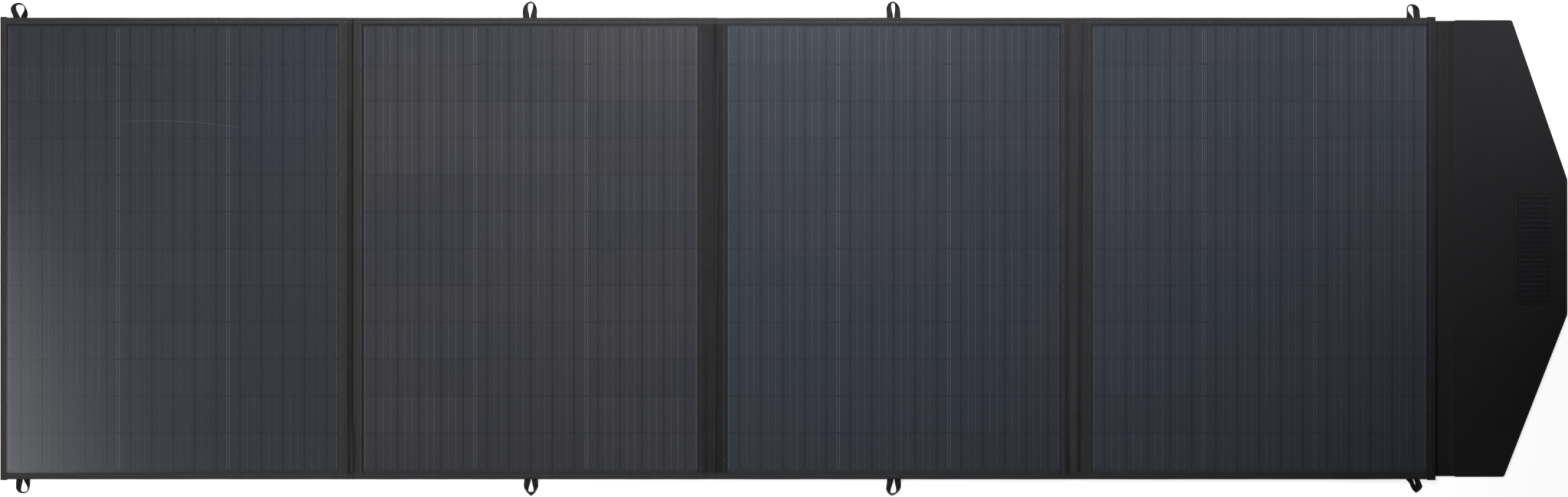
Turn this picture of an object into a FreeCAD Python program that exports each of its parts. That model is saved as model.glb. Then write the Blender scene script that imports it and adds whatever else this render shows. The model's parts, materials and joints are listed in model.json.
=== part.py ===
import FreeCAD, Part
import Sketcher
import math
import os

# A roll-folding solar blanket: four stiffened panels joined by fabric hinges, and a closing
# flap. It lies face up on z = 0, with the row of panels along X and the flap at the +X end.
# Each fabric hinge has two creases, one beside each panel, and the fabric between them is the
# spine that wraps the folded stack, so the spines grow from the first hinge to the flap.

doc = FreeCAD.newDocument("RollFoldingSolarBlanket")
sheet = doc.addObject("Spreadsheet::Sheet", "Sizes")
PANELS = ("One", "Two", "Three", "Four")
HINGES = ("One", "Two", "Three")
sub_parts = []
row = 0


def size(alias, value):
    """One driving dimension in the sheet, in millimetres unless its name says otherwise."""
    global row
    row += 1
    sheet.set(f"A{row}", alias)
    sheet.set(f"B{row}", str(value))
    sheet.setAlias(f"B{row}", alias)


# Layers, from the back of a panel to its face
size("UnderCloth", 0.6)
size("BackCover", 0.5)
size("Foam", 2.2)
size("Board", 0.8)
size("Cell", 0.25)
size("Ribbon", 0.15)
size("FilmSkin", 0.4)
size("UpperCloth", 0.5)

# Panels: the edges of each stiffened core along X, without its binding
size("LeftOne", -1124.5)
size("RightOne", -627.1)
size("LeftTwo", -614.5)
size("RightTwo", -114.5)
size("LeftThree", -96.0)
size("RightThree", 404.0)
size("LeftFour", 433.0)
size("RightFour", 935.0)
size("CoreHalf", 331.0)

# Cells: 156 mm squares cut in three, in three columns of twelve on each panel
size("CellWidth", 156.0)
size("CellDepth", 52.0)
size("ColumnGap", 3.2)
size("RowGap", 0.9)
size("Columns", 3)
size("Rows", 12)
size("CellsOne", -878.9)
size("CellsTwo", -365.2)
size("CellsThree", 157.5)
size("CellsFour", 683.2)
size("RibbonWidth", 1.2)
size("RibbonsPerCell", 5)

# Edge binding: tape folded over the edge
size("Tape", 0.5)
size("TapeFace", 9.3)
size("TapeBack", 10.0)
size("SideTapeLeft", 8.8)
size("SideTapeRight", 11.5)
size("TapeEnd", 1.5)

# Fabric hinges: where the face strip ends on each panel, and the strip on the back
size("StripStartOne", -641.3)
size("StripEndOne", -605.5)
size("StripStartTwo", -124.3)
size("StripEndTwo", -82.5)
size("StripStartThree", 396.0)
size("StripEndThree", 444.4)
size("StripHalf", 322.0)
size("BackStripHalf", 321.3)
size("BackLap", 12.0)
size("StripCloth", 0.5)
size("StripSlope", 3.0)
size("HingeTapeTop", 2.3)

# Wiring: a bus board in each panel and a flat cable across each hinge
size("BusLow", -250.0)
size("BusWidth", 30.0)
size("BusInset", 10.0)
size("BusBoard", 0.8)
size("FlatCable", 0.5)
size("FlatCableWidth", 24.0)
size("CableLap", 15.0)
size("OutletX", 880.0)
size("OutletBore", 8.0)
size("OutletFlange", 18.0)

# Webbing loops
size("LoopOneTop", -1096.5)
size("LoopOneBottom", -1092.3)
size("LoopTwoTop", -364.7)
size("LoopTwoBottom", -363.0)
size("LoopThreeTop", 157.6)
size("LoopThreeBottom", 157.9)
size("LoopFourTop", 903.7)
size("LoopFourBottom", 903.1)
size("WebWidth", 9.3)
size("WebThickness", 1.0)
size("WebTab", 11.0)
size("LegCentre", 5.1)
size("LoopRadius", 7.0)
size("LoopLeg", 14.5)
size("LoopRise", 3.75)
size("LoopTilt", 56.0)

# Flap
size("FlapCrease", 937.5)
size("FlapStart", 963.5)
size("FlapEnd", 1125.0)
size("FlapHalf", 328.0)
size("FlapShoulderTop", 1045.5)
size("FlapShoulderBottom", 1034.0)
size("FlapTipTop", 99.0)
size("FlapTipBottom", -95.0)
size("FlapCloth", 0.5)
size("FlapBoard", 1.2)
size("FlapHem", 6.0)
size("FlapCorner", 14.0)
size("ShoulderCorner", 4.5)
size("GussetEnd", 968.0)
size("GussetHalf", 327.0)
size("HookStart", 1048.7)
size("HookWidth", 54.0)
size("HookLength", 160.0)
size("HookDepth", 1.0)
size("PileStart", -20.0)
size("PileWidth", 66.0)
size("PileLength", 170.0)
size("PocketStart", 640.0)
size("PocketWidth", 190.0)
size("PocketLow", -120.0)
size("PocketHeight", 240.0)
size("PocketHem", 8.0)
doc.recompute()

# Heights of the layers, as expressions
Z_BACK = "Sizes.UnderCloth"
Z_FOAM = f"{Z_BACK} + Sizes.BackCover"
Z_BOARD = f"{Z_FOAM} + Sizes.Foam"
Z_CELL = f"{Z_BOARD} + Sizes.Board"
Z_RIBBON = f"{Z_CELL} + Sizes.Cell"
Z_SKIN = f"{Z_RIBBON} + Sizes.Ribbon"
Z_FACE = f"{Z_SKIN} + Sizes.FilmSkin"
Z_TOP = f"{Z_FACE} + Sizes.UpperCloth"
PITCH_X = "(Sizes.CellWidth + Sizes.ColumnGap)"
PITCH_Y = "(Sizes.CellDepth + Sizes.RowGap)"
ARRAY_WIDTH = f"(Sizes.Columns * {PITCH_X} - Sizes.ColumnGap)"
ARRAY_DEPTH = f"(Sizes.Rows * {PITCH_Y} - Sizes.RowGap)"
RIBBON_PITCH = "(Sizes.CellWidth / Sizes.RibbonsPerCell)"
CORE_Y = ("-Sizes.CoreHalf", "Sizes.CoreHalf")
EDGE_Y = ("-Sizes.CoreHalf - Sizes.Tape", "Sizes.CoreHalf + Sizes.Tape")
BUS_Y = ("Sizes.BusLow", "Sizes.BusLow + Sizes.BusWidth")


def value(alias):
    """The number held by one cell of the sheet."""
    return float(sheet.get(alias))


def keep(piece, label):
    """Counts an object as a sub-part whose label names its file."""
    piece.Label = label
    sub_parts.append(piece)
    return piece


def block(name, x, y, z):
    """A box between three pairs of expressions, low and high."""
    box = doc.addObject("Part::Box", name)
    for length, axis, (low, high) in zip(("Length", "Width", "Height"), "xyz", (x, y, z)):
        box.setExpression(length, f"({high}) - ({low})")
        box.setExpression(f"Placement.Base.{axis}", low)
    return box


def cut(base, *tools):
    """The base less each tool in turn."""
    for tool in tools:
        result = doc.addObject("Part::Cut", f"{base.Name}_cut")
        result.Base = base
        result.Tool = tool
        base = result
    return base


def origin_plane(body, role):
    """One of the body's own origin planes."""
    for feature in body.Origin.OriginFeatures:
        if feature.Role == role:
            return feature


def new_body(name, x, y, z):
    """A PartDesign body whose origin is set by three expressions."""
    body = doc.addObject("PartDesign::Body", name)
    body.AllowCompound = True
    for axis, place in zip("xyz", (x, y, z)):
        body.setExpression(f"Placement.Base.{axis}", place)
    return body


def new_sketch(body, name, role="XY_Plane", lift="0"):
    """A sketch on one of the body's origin planes, lifted off it by an expression."""
    sketch = body.newObject("Sketcher::SketchObject", name)
    sketch.AttachmentSupport = [(origin_plane(body, role), "")]
    sketch.MapMode = "FlatFace"
    if lift != "0":
        sketch.setExpression("AttachmentOffset.Base.z", lift)
    return sketch


def outline(sketch, points):
    """A closed outline of straight lines; each point is a pair of expressions, from the origin."""
    start = [FreeCAD.Vector(10.0 * i, 7.0 * (i % 3) + i, 0) for i in range(len(points))]
    for a, b in zip(start, start[1:] + start[:1]):
        sketch.addGeometry(Part.LineSegment(a, b), False)
    count = len(points)
    for i in range(count):
        sketch.addConstraint(Sketcher.Constraint("Coincident", i, 2, (i + 1) % count, 1))
    for i, point in enumerate(points):
        for kind, place in zip(("DistanceX", "DistanceY"), point):
            number = sketch.addConstraint(Sketcher.Constraint(kind, -1, 1, i, 1, 1.0))
            sketch.setExpression(f"Constraints[{number}]", place)


def rectangle(sketch, left, low, width, depth):
    """A closed rectangle at a distance from the sketch origin."""
    right = f"{left} + {width}"
    high = f"{low} + {depth}"
    outline(sketch, [(left, low), (right, low), (right, high), (left, high)])


def pad(body, sketch, length, middle=False):
    """Pads a sketch by an expression."""
    feature = body.newObject("PartDesign::Pad", f"{body.Name}_pad")
    feature.Profile = sketch
    feature.setExpression("Length", length)
    if middle:
        feature.Midplane = True
    sketch.Visibility = False
    return feature


def pocket_up(body, sketch, depth):
    """Cuts a sketch upwards, into the material above it."""
    feature = body.newObject("PartDesign::Pocket", f"{body.Name}_pocket")
    feature.Profile = sketch
    feature.setExpression("Length", depth)
    feature.Reversed = True
    sketch.Visibility = False
    return feature


def grid(body, feature, steps):
    """Repeats a feature along X or Y: each step is an axis, a count and a pitch expression."""
    multi = body.newObject("PartDesign::MultiTransform", f"{feature.Name}_grid")
    multi.Originals = [feature]
    patterns = []
    for axis, count, pitch in steps:
        pattern = body.newObject("PartDesign::LinearPattern", f"{feature.Name}_{axis}")
        pattern.Direction = (origin_plane(body, f"{axis}_Axis"), [""])
        pattern.setExpression("Length", f"({count} - 1) * {pitch}")
        pattern.setExpression("Occurrences", count)
        patterns.append(pattern)
    multi.Transformations = patterns
    body.Tip = multi
    return multi


CELL_STEPS = (("X", "Sizes.Columns", PITCH_X), ("Y", "Sizes.Rows", PITCH_Y))
RIBBON_STEPS = (("X", "Sizes.RibbonsPerCell", RIBBON_PITCH), ("X", "Sizes.Columns", PITCH_X))


def cell_array(k, word):
    """The silicon cells of one panel, one solid each."""
    corner_x = f"Sizes.Cells{word} - {ARRAY_WIDTH} / 2"
    body = new_body(f"cells_{k}", corner_x, f"-{ARRAY_DEPTH} / 2", Z_CELL)
    sketch = new_sketch(body, f"cell_outline_{k}")
    rectangle(sketch, "0", "0", "Sizes.CellWidth", "Sizes.CellDepth")
    grid(body, pad(body, sketch, "Sizes.Cell"), CELL_STEPS)
    keep(body, f"solar_cells_{k}")


def ribbons(k, word):
    """The contact ribbons that run the length of each column of cells."""
    corner_x = f"Sizes.Cells{word} - {ARRAY_WIDTH} / 2"
    body = new_body(f"ribbons_{k}", corner_x, f"-{ARRAY_DEPTH} / 2", Z_RIBBON)
    sketch = new_sketch(body, f"ribbon_outline_{k}")
    first = f"({RIBBON_PITCH} - Sizes.RibbonWidth) / 2"
    rectangle(sketch, first, "0", "Sizes.RibbonWidth", ARRAY_DEPTH)
    grid(body, pad(body, sketch, "Sizes.Ribbon"), RIBBON_STEPS)
    keep(body, f"busbar_ribbons_{k}")


def face_film(k, word):
    """The film laminated over the cells, with a seat for each cell and each ribbon."""
    body = new_body(f"film_{k}", f"Sizes.Left{word}", "-Sizes.CoreHalf", Z_CELL)
    sketch = new_sketch(body, f"film_outline_{k}")
    rectangle(sketch, "0", "0", f"(Sizes.Right{word} - Sizes.Left{word})", "2 * Sizes.CoreHalf")
    pad(body, sketch, "Sizes.Cell + Sizes.Ribbon + Sizes.FilmSkin")
    left = f"(Sizes.Cells{word} - {ARRAY_WIDTH} / 2 - Sizes.Left{word})"
    low = f"(Sizes.CoreHalf - {ARRAY_DEPTH} / 2)"
    seat = new_sketch(body, f"cell_seat_{k}")
    rectangle(seat, left, low, "Sizes.CellWidth", "Sizes.CellDepth")
    grid(body, pocket_up(body, seat, "Sizes.Cell"), CELL_STEPS)
    groove = new_sketch(body, f"ribbon_seat_{k}", lift="Sizes.Cell")
    first = f"{left} + ({RIBBON_PITCH} - Sizes.RibbonWidth) / 2"
    rectangle(groove, first, low, "Sizes.RibbonWidth", ARRAY_DEPTH)
    grid(body, pocket_up(body, groove, "Sizes.Ribbon"), RIBBON_STEPS)
    keep(body, f"front_film_{k}")


def tab_space(k, word, side, x_room, y, z):
    """The room a loop's sewn tab takes at the top or bottom edge of a panel."""
    place = f"Sizes.Loop{word}{side}"
    half = f"(Sizes.LegCentre + Sizes.WebWidth / 2 + {x_room})"
    return block(f"tab_{side}_{k}", (f"{place} - {half}", f"{place} + {half}"), y, z)


def core(k, word, first, last):
    """Back cover, foam and board of one panel, and the bus board in the foam."""
    x = (f"Sizes.Left{word}", f"Sizes.Right{word}")
    under_bus = f"{Z_FOAM} + Sizes.FlatCable"
    over_bus = f"{under_bus} + Sizes.BusBoard"
    bus_left = f"Sizes.Left{word} + Sizes.BusInset"
    bus_right = f"Sizes.Right{word} - Sizes.BusInset"
    back = block(f"back_{k}", x, CORE_Y, (Z_BACK, Z_FOAM))
    if last:
        hole = doc.addObject("Part::Cylinder", "outlet_hole")
        hole.setExpression("Radius", "Sizes.OutletBore / 2 + Sizes.FlatCable")
        hole.Height = 20
        hole.setExpression("Placement.Base.x", "Sizes.OutletX")
        hole.setExpression("Placement.Base.y", "Sizes.BusLow + Sizes.BusWidth / 2")
        back = cut(back, hole)
    keep(back, f"back_cover_{k}")
    foam = block(f"foam_{k}", x, CORE_Y, (Z_FOAM, Z_BOARD))
    channel_x = (bus_left if first else x[0], bus_right if last else x[1])
    channel = block(f"bus_channel_{k}", channel_x, BUS_Y, (Z_FOAM, over_bus))
    tab_z = (Z_FOAM, f"{Z_FOAM} + Sizes.WebThickness")
    upper = tab_space(k, word, "Top", "0.1", ("Sizes.CoreHalf - Sizes.WebTab", "400"), tab_z)
    lower = tab_space(k, word, "Bottom", "0.1", ("-400", "Sizes.WebTab - Sizes.CoreHalf"), tab_z)
    keep(cut(foam, channel, upper, lower), f"foam_core_{k}")
    keep(block(f"board_{k}", x, CORE_Y, (Z_BOARD, Z_CELL)), f"laminate_board_{k}")
    bus_end = "Sizes.OutletX - Sizes.OutletFlange / 2" if last else bus_right
    bus = block(f"bus_{k}", (bus_left, bus_end), BUS_Y, (under_bus, over_bus))
    keep(bus, f"terminal_board_{k}")


def edge_binding(k, word, first, last):
    """Tape folded over the top and bottom edges of one panel, with slits for its loops."""
    left = f"Sizes.Left{word} + Sizes.SideTapeLeft - Sizes.Tape" if first else f"Sizes.Left{word}"
    right = f"Sizes.Right{word} + Sizes.Tape - Sizes.SideTapeRight" if last else f"Sizes.Right{word}"
    outer = block(f"tape_{k}", (left, right), EDGE_Y, ("0", Z_TOP))
    inner = block(f"tape_core_{k}", ("-2000", "2000"), CORE_Y, (Z_BACK, Z_FACE))
    face_half = "Sizes.CoreHalf + Sizes.Tape - Sizes.TapeFace"
    back_half = "Sizes.CoreHalf + Sizes.Tape - Sizes.TapeBack"
    above = block(f"tape_over_{k}", ("-2000", "2000"), (f"-({face_half})", face_half), ("3", "9"))
    under = block(f"tape_under_{k}", ("-2000", "2000"), (f"-({back_half})", back_half), ("-3", "3"))
    slit_z = (f"{Z_FOAM} - 0.1", f"{Z_FOAM} + Sizes.WebThickness + 0.1")
    upper = tab_space(f"slit_{k}", word, "Top", "0.3", ("330", "340"), slit_z)
    lower = tab_space(f"slit_{k}", word, "Bottom", "0.3", ("-340", "-330"), slit_z)
    keep(cut(outer, inner, above, under, upper, lower), f"edge_binding_{k}")


def side_binding(label, x_outer, x_inner):
    """Tape folded over the left or right end, closed over the corners."""
    ends = "(Sizes.CoreHalf + Sizes.TapeEnd)"
    outer = block(f"{label}_tape", (x_outer, x_inner), (f"-{ends}", ends), ("0", Z_TOP))
    inner = block(f"{label}_core", ("Sizes.LeftOne", "Sizes.RightFour"), CORE_Y, (Z_BACK, Z_FACE))
    keep(cut(outer, inner), label)


def webbing_ring(name):
    """One loop of webbing, flat in its seam and twisted on to its edge around the bow.

    Its seam is on y = 0 and the bow points along +Y.
    """
    width = value("WebWidth")
    thickness = value("WebThickness")
    leg = value("LoopLeg")
    radius = value("LoopRadius")
    start = value("LegCentre")
    tilt = math.radians(value("LoopTilt"))
    stations = [(-start, -value("WebTab"), 0.0, 0.0), (-start, 0.0, 0.0, 0.0)]
    leg_steps = 5
    for i in range(1, leg_steps + 1):
        share = i / leg_steps
        stations.append((-start - (radius - start) * share, leg * share, 0.0, 0.8 * share))
    arc_steps = 5
    for i in range(1, arc_steps + 1):
        turn = math.radians(90.0 * i / arc_steps)
        share = 0.8 + 0.2 * math.sin(turn)
        stations.append((-radius * math.cos(turn), leg + radius * math.sin(turn), turn, share))
    mirrored = [(-x, y, math.pi - turn, share) for x, y, turn, share in reversed(stations[:-1])]
    base = value("UnderCloth") + value("BackCover") + thickness / 2
    lifted = value("LoopRise") + value("WebThickness") / 2
    sections = []
    for x, y, turn, share in stations + mirrored:
        ease = share * share * (3 - 2 * share)
        angle = tilt * ease
        middle = FreeCAD.Vector(x, y, base + (lifted - base) * ease)
        outward = FreeCAD.Vector(-math.cos(turn), math.sin(turn), 0)
        across = outward * math.cos(angle) + FreeCAD.Vector(0, 0, math.sin(angle))
        through = FreeCAD.Vector(0, 0, math.cos(angle)) - outward * math.sin(angle)
        a = across * (width / 2)
        t = through * (thickness / 2)
        corners = [middle - a - t, middle + a - t, middle + a + t, middle - a + t]
        sections.append(Part.makePolygon(corners + corners[:1]))
    ring = doc.addObject("Part::Feature", name)
    ring.Shape = Part.makeLoft(sections, True, True)
    return ring


def loops(k, word):
    """The two webbing loops of one panel, sewn into its top and bottom edges."""
    upper = webbing_ring(f"loop_top_{k}")
    upper.setExpression("Placement.Base.x", f"Sizes.Loop{word}Top")
    upper.setExpression("Placement.Base.y", "Sizes.CoreHalf")
    lower = webbing_ring(f"loop_bottom_{k}")
    lower.Placement.Rotation = FreeCAD.Rotation(FreeCAD.Vector(0, 0, 1), 180)
    lower.setExpression("Placement.Base.x", f"Sizes.Loop{word}Bottom")
    lower.setExpression("Placement.Base.y", "-Sizes.CoreHalf")
    pair = doc.addObject("Part::Compound", f"loops_{k}")
    pair.Links = [upper, lower]
    keep(pair, f"webbing_loops_{k}")


def fabric_hinge(k, word, after):
    """The cloth, tape and flat cable that cross from one panel to the next."""
    left = f"Sizes.Right{word}"
    right = f"Sizes.Left{after}"
    valley = f"({Z_FOAM} + Sizes.FlatCable)"
    body = new_body(f"face_strip_{k}", "0", "0", "0")
    profile = new_sketch(body, f"face_strip_profile_{k}", "XZ_Plane")
    start = f"Sizes.StripStart{word}"
    end = f"Sizes.StripEnd{word}"
    over = f"{Z_TOP}"
    floor = f"{valley} + Sizes.StripCloth"
    lip = "Sizes.StripCloth + 0.1"
    outline(profile, [
        (start, over),
        (f"{left} + {lip}", over),
        (f"{left} + {lip} + Sizes.StripSlope", floor),
        (f"{right} - {lip} - Sizes.StripSlope", floor),
        (f"{right} - {lip}", over),
        (end, over),
        (end, Z_FACE),
        (f"{right} - 0.1", Z_FACE),
        (f"{right} - 0.1 - Sizes.StripSlope", valley),
        (f"{left} + 0.1 + Sizes.StripSlope", valley),
        (f"{left} + 0.1", Z_FACE),
        (start, Z_FACE),
    ])
    pad(body, profile, "2 * Sizes.StripHalf", middle=True)
    keep(body, f"hinge_front_strip_{k}")
    back_x = (f"{left} - Sizes.BackLap", f"{right} + Sizes.BackLap")
    back_y = ("-Sizes.BackStripHalf", "Sizes.BackStripHalf")
    back = block(f"back_strip_{k}", back_x, back_y, (f"{Z_BACK} - Sizes.StripCloth", Z_BACK))
    keep(back, f"hinge_back_strip_{k}")
    outer = block(f"hinge_tape_{k}", (left, right), EDGE_Y, ("0", "Sizes.HingeTapeTop"))
    inside = ("Sizes.UnderCloth", "Sizes.HingeTapeTop - Sizes.UnderCloth")
    inner = block(f"hinge_tape_core_{k}", ("-2000", "2000"), CORE_Y, inside)
    half = "Sizes.CoreHalf + Sizes.Tape - Sizes.TapeFace"
    middle = block(f"hinge_tape_gap_{k}", ("-2000", "2000"), (f"-({half})", half), ("-3", "9"))
    keep(cut(outer, inner, middle), f"hinge_binding_{k}")
    cable_y = (
        "Sizes.BusLow + (Sizes.BusWidth - Sizes.FlatCableWidth) / 2",
        "Sizes.BusLow + (Sizes.BusWidth + Sizes.FlatCableWidth) / 2",
    )
    lap = "Sizes.BusInset + Sizes.CableLap"
    cable_x = (f"{left} - {lap}", f"{right} + {lap}")
    cable = block(f"cable_{k}", cable_x, cable_y, (Z_FOAM, f"{Z_FOAM} + Sizes.FlatCable"))
    keep(cable, f"interconnect_{k}")


def flap_outline(sketch, inset):
    """The flap's five-sided shape, drawn in from its edge, from a corner of the flap."""
    left = f"{inset}"
    end = f"Sizes.FlapEnd - Sizes.FlapStart - {inset}"
    low = f"{inset}"
    high = f"2 * Sizes.FlapHalf - {inset}"
    # the sloping sides meet the straight ones at a blunt angle, so their corners move in less
    top = f"Sizes.FlapShoulderTop - Sizes.FlapStart - 0.71 * {inset}"
    bottom = f"Sizes.FlapShoulderBottom - Sizes.FlapStart - 0.71 * {inset}"
    tip_top = f"Sizes.FlapHalf + Sizes.FlapTipTop - 0.17 * {inset}"
    tip_bottom = f"Sizes.FlapHalf + Sizes.FlapTipBottom + 0.17 * {inset}"
    outline(sketch, [
        (left, low), (bottom, low), (end, tip_bottom), (end, tip_top), (top, high), (left, high),
    ])


def round_corners(body, feature, name, radius, x_from, x_to):
    """Rounds the upright edges of the flap that stand between two distances from its root."""
    doc.recompute()
    names = []
    for number, edge in enumerate(feature.Shape.Edges, 1):
        a, b = (vertex.Point for vertex in edge.Vertexes)
        upright = abs(a.x - b.x) < 1e-6 and abs(a.y - b.y) < 1e-6
        if upright and x_from < a.x < x_to:
            names.append(f"Edge{number}")
    fillet = body.newObject("PartDesign::Fillet", f"{body.Name}_{name}")
    fillet.Base = (feature, names)
    fillet.setExpression("Radius", radius)
    body.Tip = fillet
    return fillet


def flap_sheet(label, z, thickness, inset, shoulder="Sizes.ShoulderCorner"):
    """One flat layer of the flap."""
    body = new_body(f"{label}_body", "Sizes.FlapStart", "-Sizes.FlapHalf", z)
    sketch = new_sketch(body, f"{label}_outline")
    flap_outline(sketch, inset)
    feature = pad(body, sketch, thickness)
    tips = round_corners(body, feature, "tips", f"Sizes.FlapCorner - {inset}", 120, 200)
    round_corners(body, tips, "shoulders", shoulder, 20, 120)
    return keep(body, label)


def flap():
    """The closing flap: stiff board between two covers, on a strip of plain cloth."""
    inside = "(Sizes.FlapCloth + Sizes.FlapBoard)"
    flap_sheet("flap_back_cover", "0", "Sizes.FlapCloth", "0")
    cover = flap_sheet("flap_front_cover", "Sizes.FlapCloth", "Sizes.FlapBoard + Sizes.FlapCloth", "0")
    hollow = new_sketch(cover, "flap_hollow")
    flap_outline(hollow, "Sizes.FlapHem")
    hollow_cut = pocket_up(cover, hollow, "Sizes.FlapBoard")
    mouth = new_sketch(cover, "flap_mouth")
    rectangle(mouth, "-1", "1", "(Sizes.FlapHem + 2)", "(2 * Sizes.FlapHalf - 2)")
    pocket_up(cover, mouth, "Sizes.FlapBoard")
    cover.Tip = cover.Group[-1]
    hollow_cut.Visibility = False
    board_corner = "Sizes.ShoulderCorner / 3"
    flap_sheet("flap_board", "Sizes.FlapCloth", "Sizes.FlapBoard", "Sizes.FlapHem", board_corner)
    gusset_z = (Z_BACK, f"{Z_BACK} + Sizes.StripCloth")
    gusset_x = ("Sizes.RightFour + Sizes.Tape", "Sizes.GussetEnd")
    gusset = block("gusset", gusset_x, ("-Sizes.GussetHalf", "Sizes.GussetHalf"), gusset_z)
    keep(gusset, "flap_gusset")
    hook_x = ("Sizes.HookStart", "Sizes.HookStart + Sizes.HookWidth")
    hook_y = ("-Sizes.HookLength / 2", "Sizes.HookLength / 2")
    hook_low = f"Sizes.FlapCloth + {inside}"
    hook = block("hook", hook_x, hook_y, (hook_low, f"{hook_low} + Sizes.HookDepth"))
    keep(hook, "hook_strip")


def back_fittings():
    """What is sewn on the back: the pile patch, a flat pocket and the cable outlet's eyelet."""
    pile_x = ("Sizes.PileStart", "Sizes.PileStart + Sizes.PileWidth")
    pile_y = ("-Sizes.PileLength / 2", "Sizes.PileLength / 2")
    keep(block("pile", pile_x, pile_y, ("0", Z_BACK)), "loop_patch")
    pocket_x = ("Sizes.PocketStart", "Sizes.PocketStart + Sizes.PocketWidth")
    pocket_y = ("Sizes.PocketLow", "Sizes.PocketLow + Sizes.PocketHeight")
    pouch = block("pouch", pocket_x, pocket_y, ("0", Z_BACK))
    room_x = ("Sizes.PocketStart + Sizes.PocketHem", "Sizes.PocketStart + Sizes.PocketWidth + 1")
    room_y = (
        "Sizes.PocketLow + Sizes.PocketHem",
        "Sizes.PocketLow + Sizes.PocketHeight - Sizes.PocketHem",
    )
    room = block("pouch_room", room_x, room_y, ("Sizes.UnderCloth / 2", "Sizes.UnderCloth"))
    keep(cut(pouch, room), "rear_pocket")
    body = new_body("eyelet", "Sizes.OutletX", "Sizes.BusLow + Sizes.BusWidth / 2", "0")
    profile = new_sketch(body, "eyelet_profile", "XZ_Plane")
    bore = "Sizes.OutletBore / 2"
    wall = f"{bore} + Sizes.FlatCable"
    rim = "Sizes.OutletFlange / 2"
    high = f"{Z_FOAM} + Sizes.FlatCable"
    outline(profile, [
        (bore, "0.1"), (rim, "0.1"), (rim, Z_BACK), (wall, Z_BACK),
        (wall, Z_FOAM), (rim, Z_FOAM), (rim, high), (bore, high),
    ])
    turned = body.newObject("PartDesign::Revolution", "eyelet_ring")
    turned.Profile = profile
    turned.ReferenceAxis = (origin_plane(body, "Z_Axis"), [""])
    turned.Angle = 360
    keep(body, "cable_grommet")


for number, word in enumerate(PANELS, 1):
    is_first = number == 1
    is_last = number == len(PANELS)
    core(number, word, is_first, is_last)
    cell_array(number, word)
    ribbons(number, word)
    face_film(number, word)
    edge_binding(number, word, is_first, is_last)
    loops(number, word)

for number, word in enumerate(HINGES, 1):
    fabric_hinge(number, word, PANELS[number])

left_outer = "Sizes.LeftOne - Sizes.Tape"
side_binding("left_binding", left_outer, f"{left_outer} + Sizes.SideTapeLeft")
right_outer = "Sizes.RightFour + Sizes.Tape"
side_binding("right_binding", f"{right_outer} - Sizes.SideTapeRight", right_outer)
flap()
back_fittings()
doc.recompute()

for feature in doc.Objects:
    wrong = [state for state in feature.State if state in ("Invalid", "Error")]
    if wrong:
        raise RuntimeError(f"{feature.Label} did not build: {wrong}")
for piece in sub_parts:
    if piece.Shape.isNull() or not piece.Shape.isValid():
        raise RuntimeError(f"{piece.Label} is not a valid shape")

os.makedirs("parts", exist_ok=True)
for piece in sub_parts:
    piece.Shape.exportStep(f"parts/{piece.Label}.step")
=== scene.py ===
import json
import math
import random

import bmesh
import bpy
import numpy as np
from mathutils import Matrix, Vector, noise


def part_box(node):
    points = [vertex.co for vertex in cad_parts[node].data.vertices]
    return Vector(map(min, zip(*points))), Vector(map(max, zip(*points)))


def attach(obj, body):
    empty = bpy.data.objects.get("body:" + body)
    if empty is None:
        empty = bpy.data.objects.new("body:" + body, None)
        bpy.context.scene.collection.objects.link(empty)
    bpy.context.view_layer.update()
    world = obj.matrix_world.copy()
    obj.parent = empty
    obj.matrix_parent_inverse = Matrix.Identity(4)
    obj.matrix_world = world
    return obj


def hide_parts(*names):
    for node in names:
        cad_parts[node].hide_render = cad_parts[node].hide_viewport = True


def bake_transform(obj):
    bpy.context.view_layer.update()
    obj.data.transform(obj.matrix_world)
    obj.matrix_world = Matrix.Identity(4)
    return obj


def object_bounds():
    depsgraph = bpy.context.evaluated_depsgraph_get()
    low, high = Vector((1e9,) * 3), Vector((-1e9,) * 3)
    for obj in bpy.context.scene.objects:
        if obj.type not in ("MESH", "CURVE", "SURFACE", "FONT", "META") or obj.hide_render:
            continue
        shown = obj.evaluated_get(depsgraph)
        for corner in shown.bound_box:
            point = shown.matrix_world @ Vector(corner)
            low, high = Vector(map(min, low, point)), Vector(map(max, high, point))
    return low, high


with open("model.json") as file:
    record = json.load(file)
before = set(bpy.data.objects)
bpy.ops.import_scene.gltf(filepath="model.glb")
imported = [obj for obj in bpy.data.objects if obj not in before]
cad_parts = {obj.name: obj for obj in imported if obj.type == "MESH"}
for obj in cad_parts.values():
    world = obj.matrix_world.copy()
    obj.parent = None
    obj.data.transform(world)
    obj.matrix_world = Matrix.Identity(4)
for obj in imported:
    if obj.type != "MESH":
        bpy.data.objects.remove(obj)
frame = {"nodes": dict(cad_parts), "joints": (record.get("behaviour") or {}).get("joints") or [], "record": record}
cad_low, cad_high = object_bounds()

# A roll-folding solar blanket, dressed around its CAD. Lengths here are in millimetres, in the
# frame's own axes, and become metres where a mesh is made. Places come from the CAD nodes.

MM = 0.001
UP, DOWN = (0, 0, 1), (0, 0, -1)
PANELS, HINGES = (1, 2, 3, 4), (1, 2, 3)
HALF_LENGTH = 330.0
chance = random.Random(41)


def box_mm(node):
    """A CAD node's lowest and highest corner, in millimetres."""
    low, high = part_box(node)
    return np.array(low) * 1000, np.array(high) * 1000


def smooth(t):
    """Eases from 0 to 1."""
    t = np.clip(t, 0.0, 1.0)
    return t * t * (3 - 2 * t)


def hump(place, width):
    """1 at zero, falling smoothly away over the width."""
    return np.exp(-((place / width) ** 2))


def inset(place, low, high):
    """How far a place is inside low and high."""
    return np.minimum(place - low, high - place)


def spaced(low, high, step):
    """Evenly spaced places from low to high, about one step apart."""
    return np.linspace(low, high, max(2, int(round((high - low) / step)) + 1))


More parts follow.
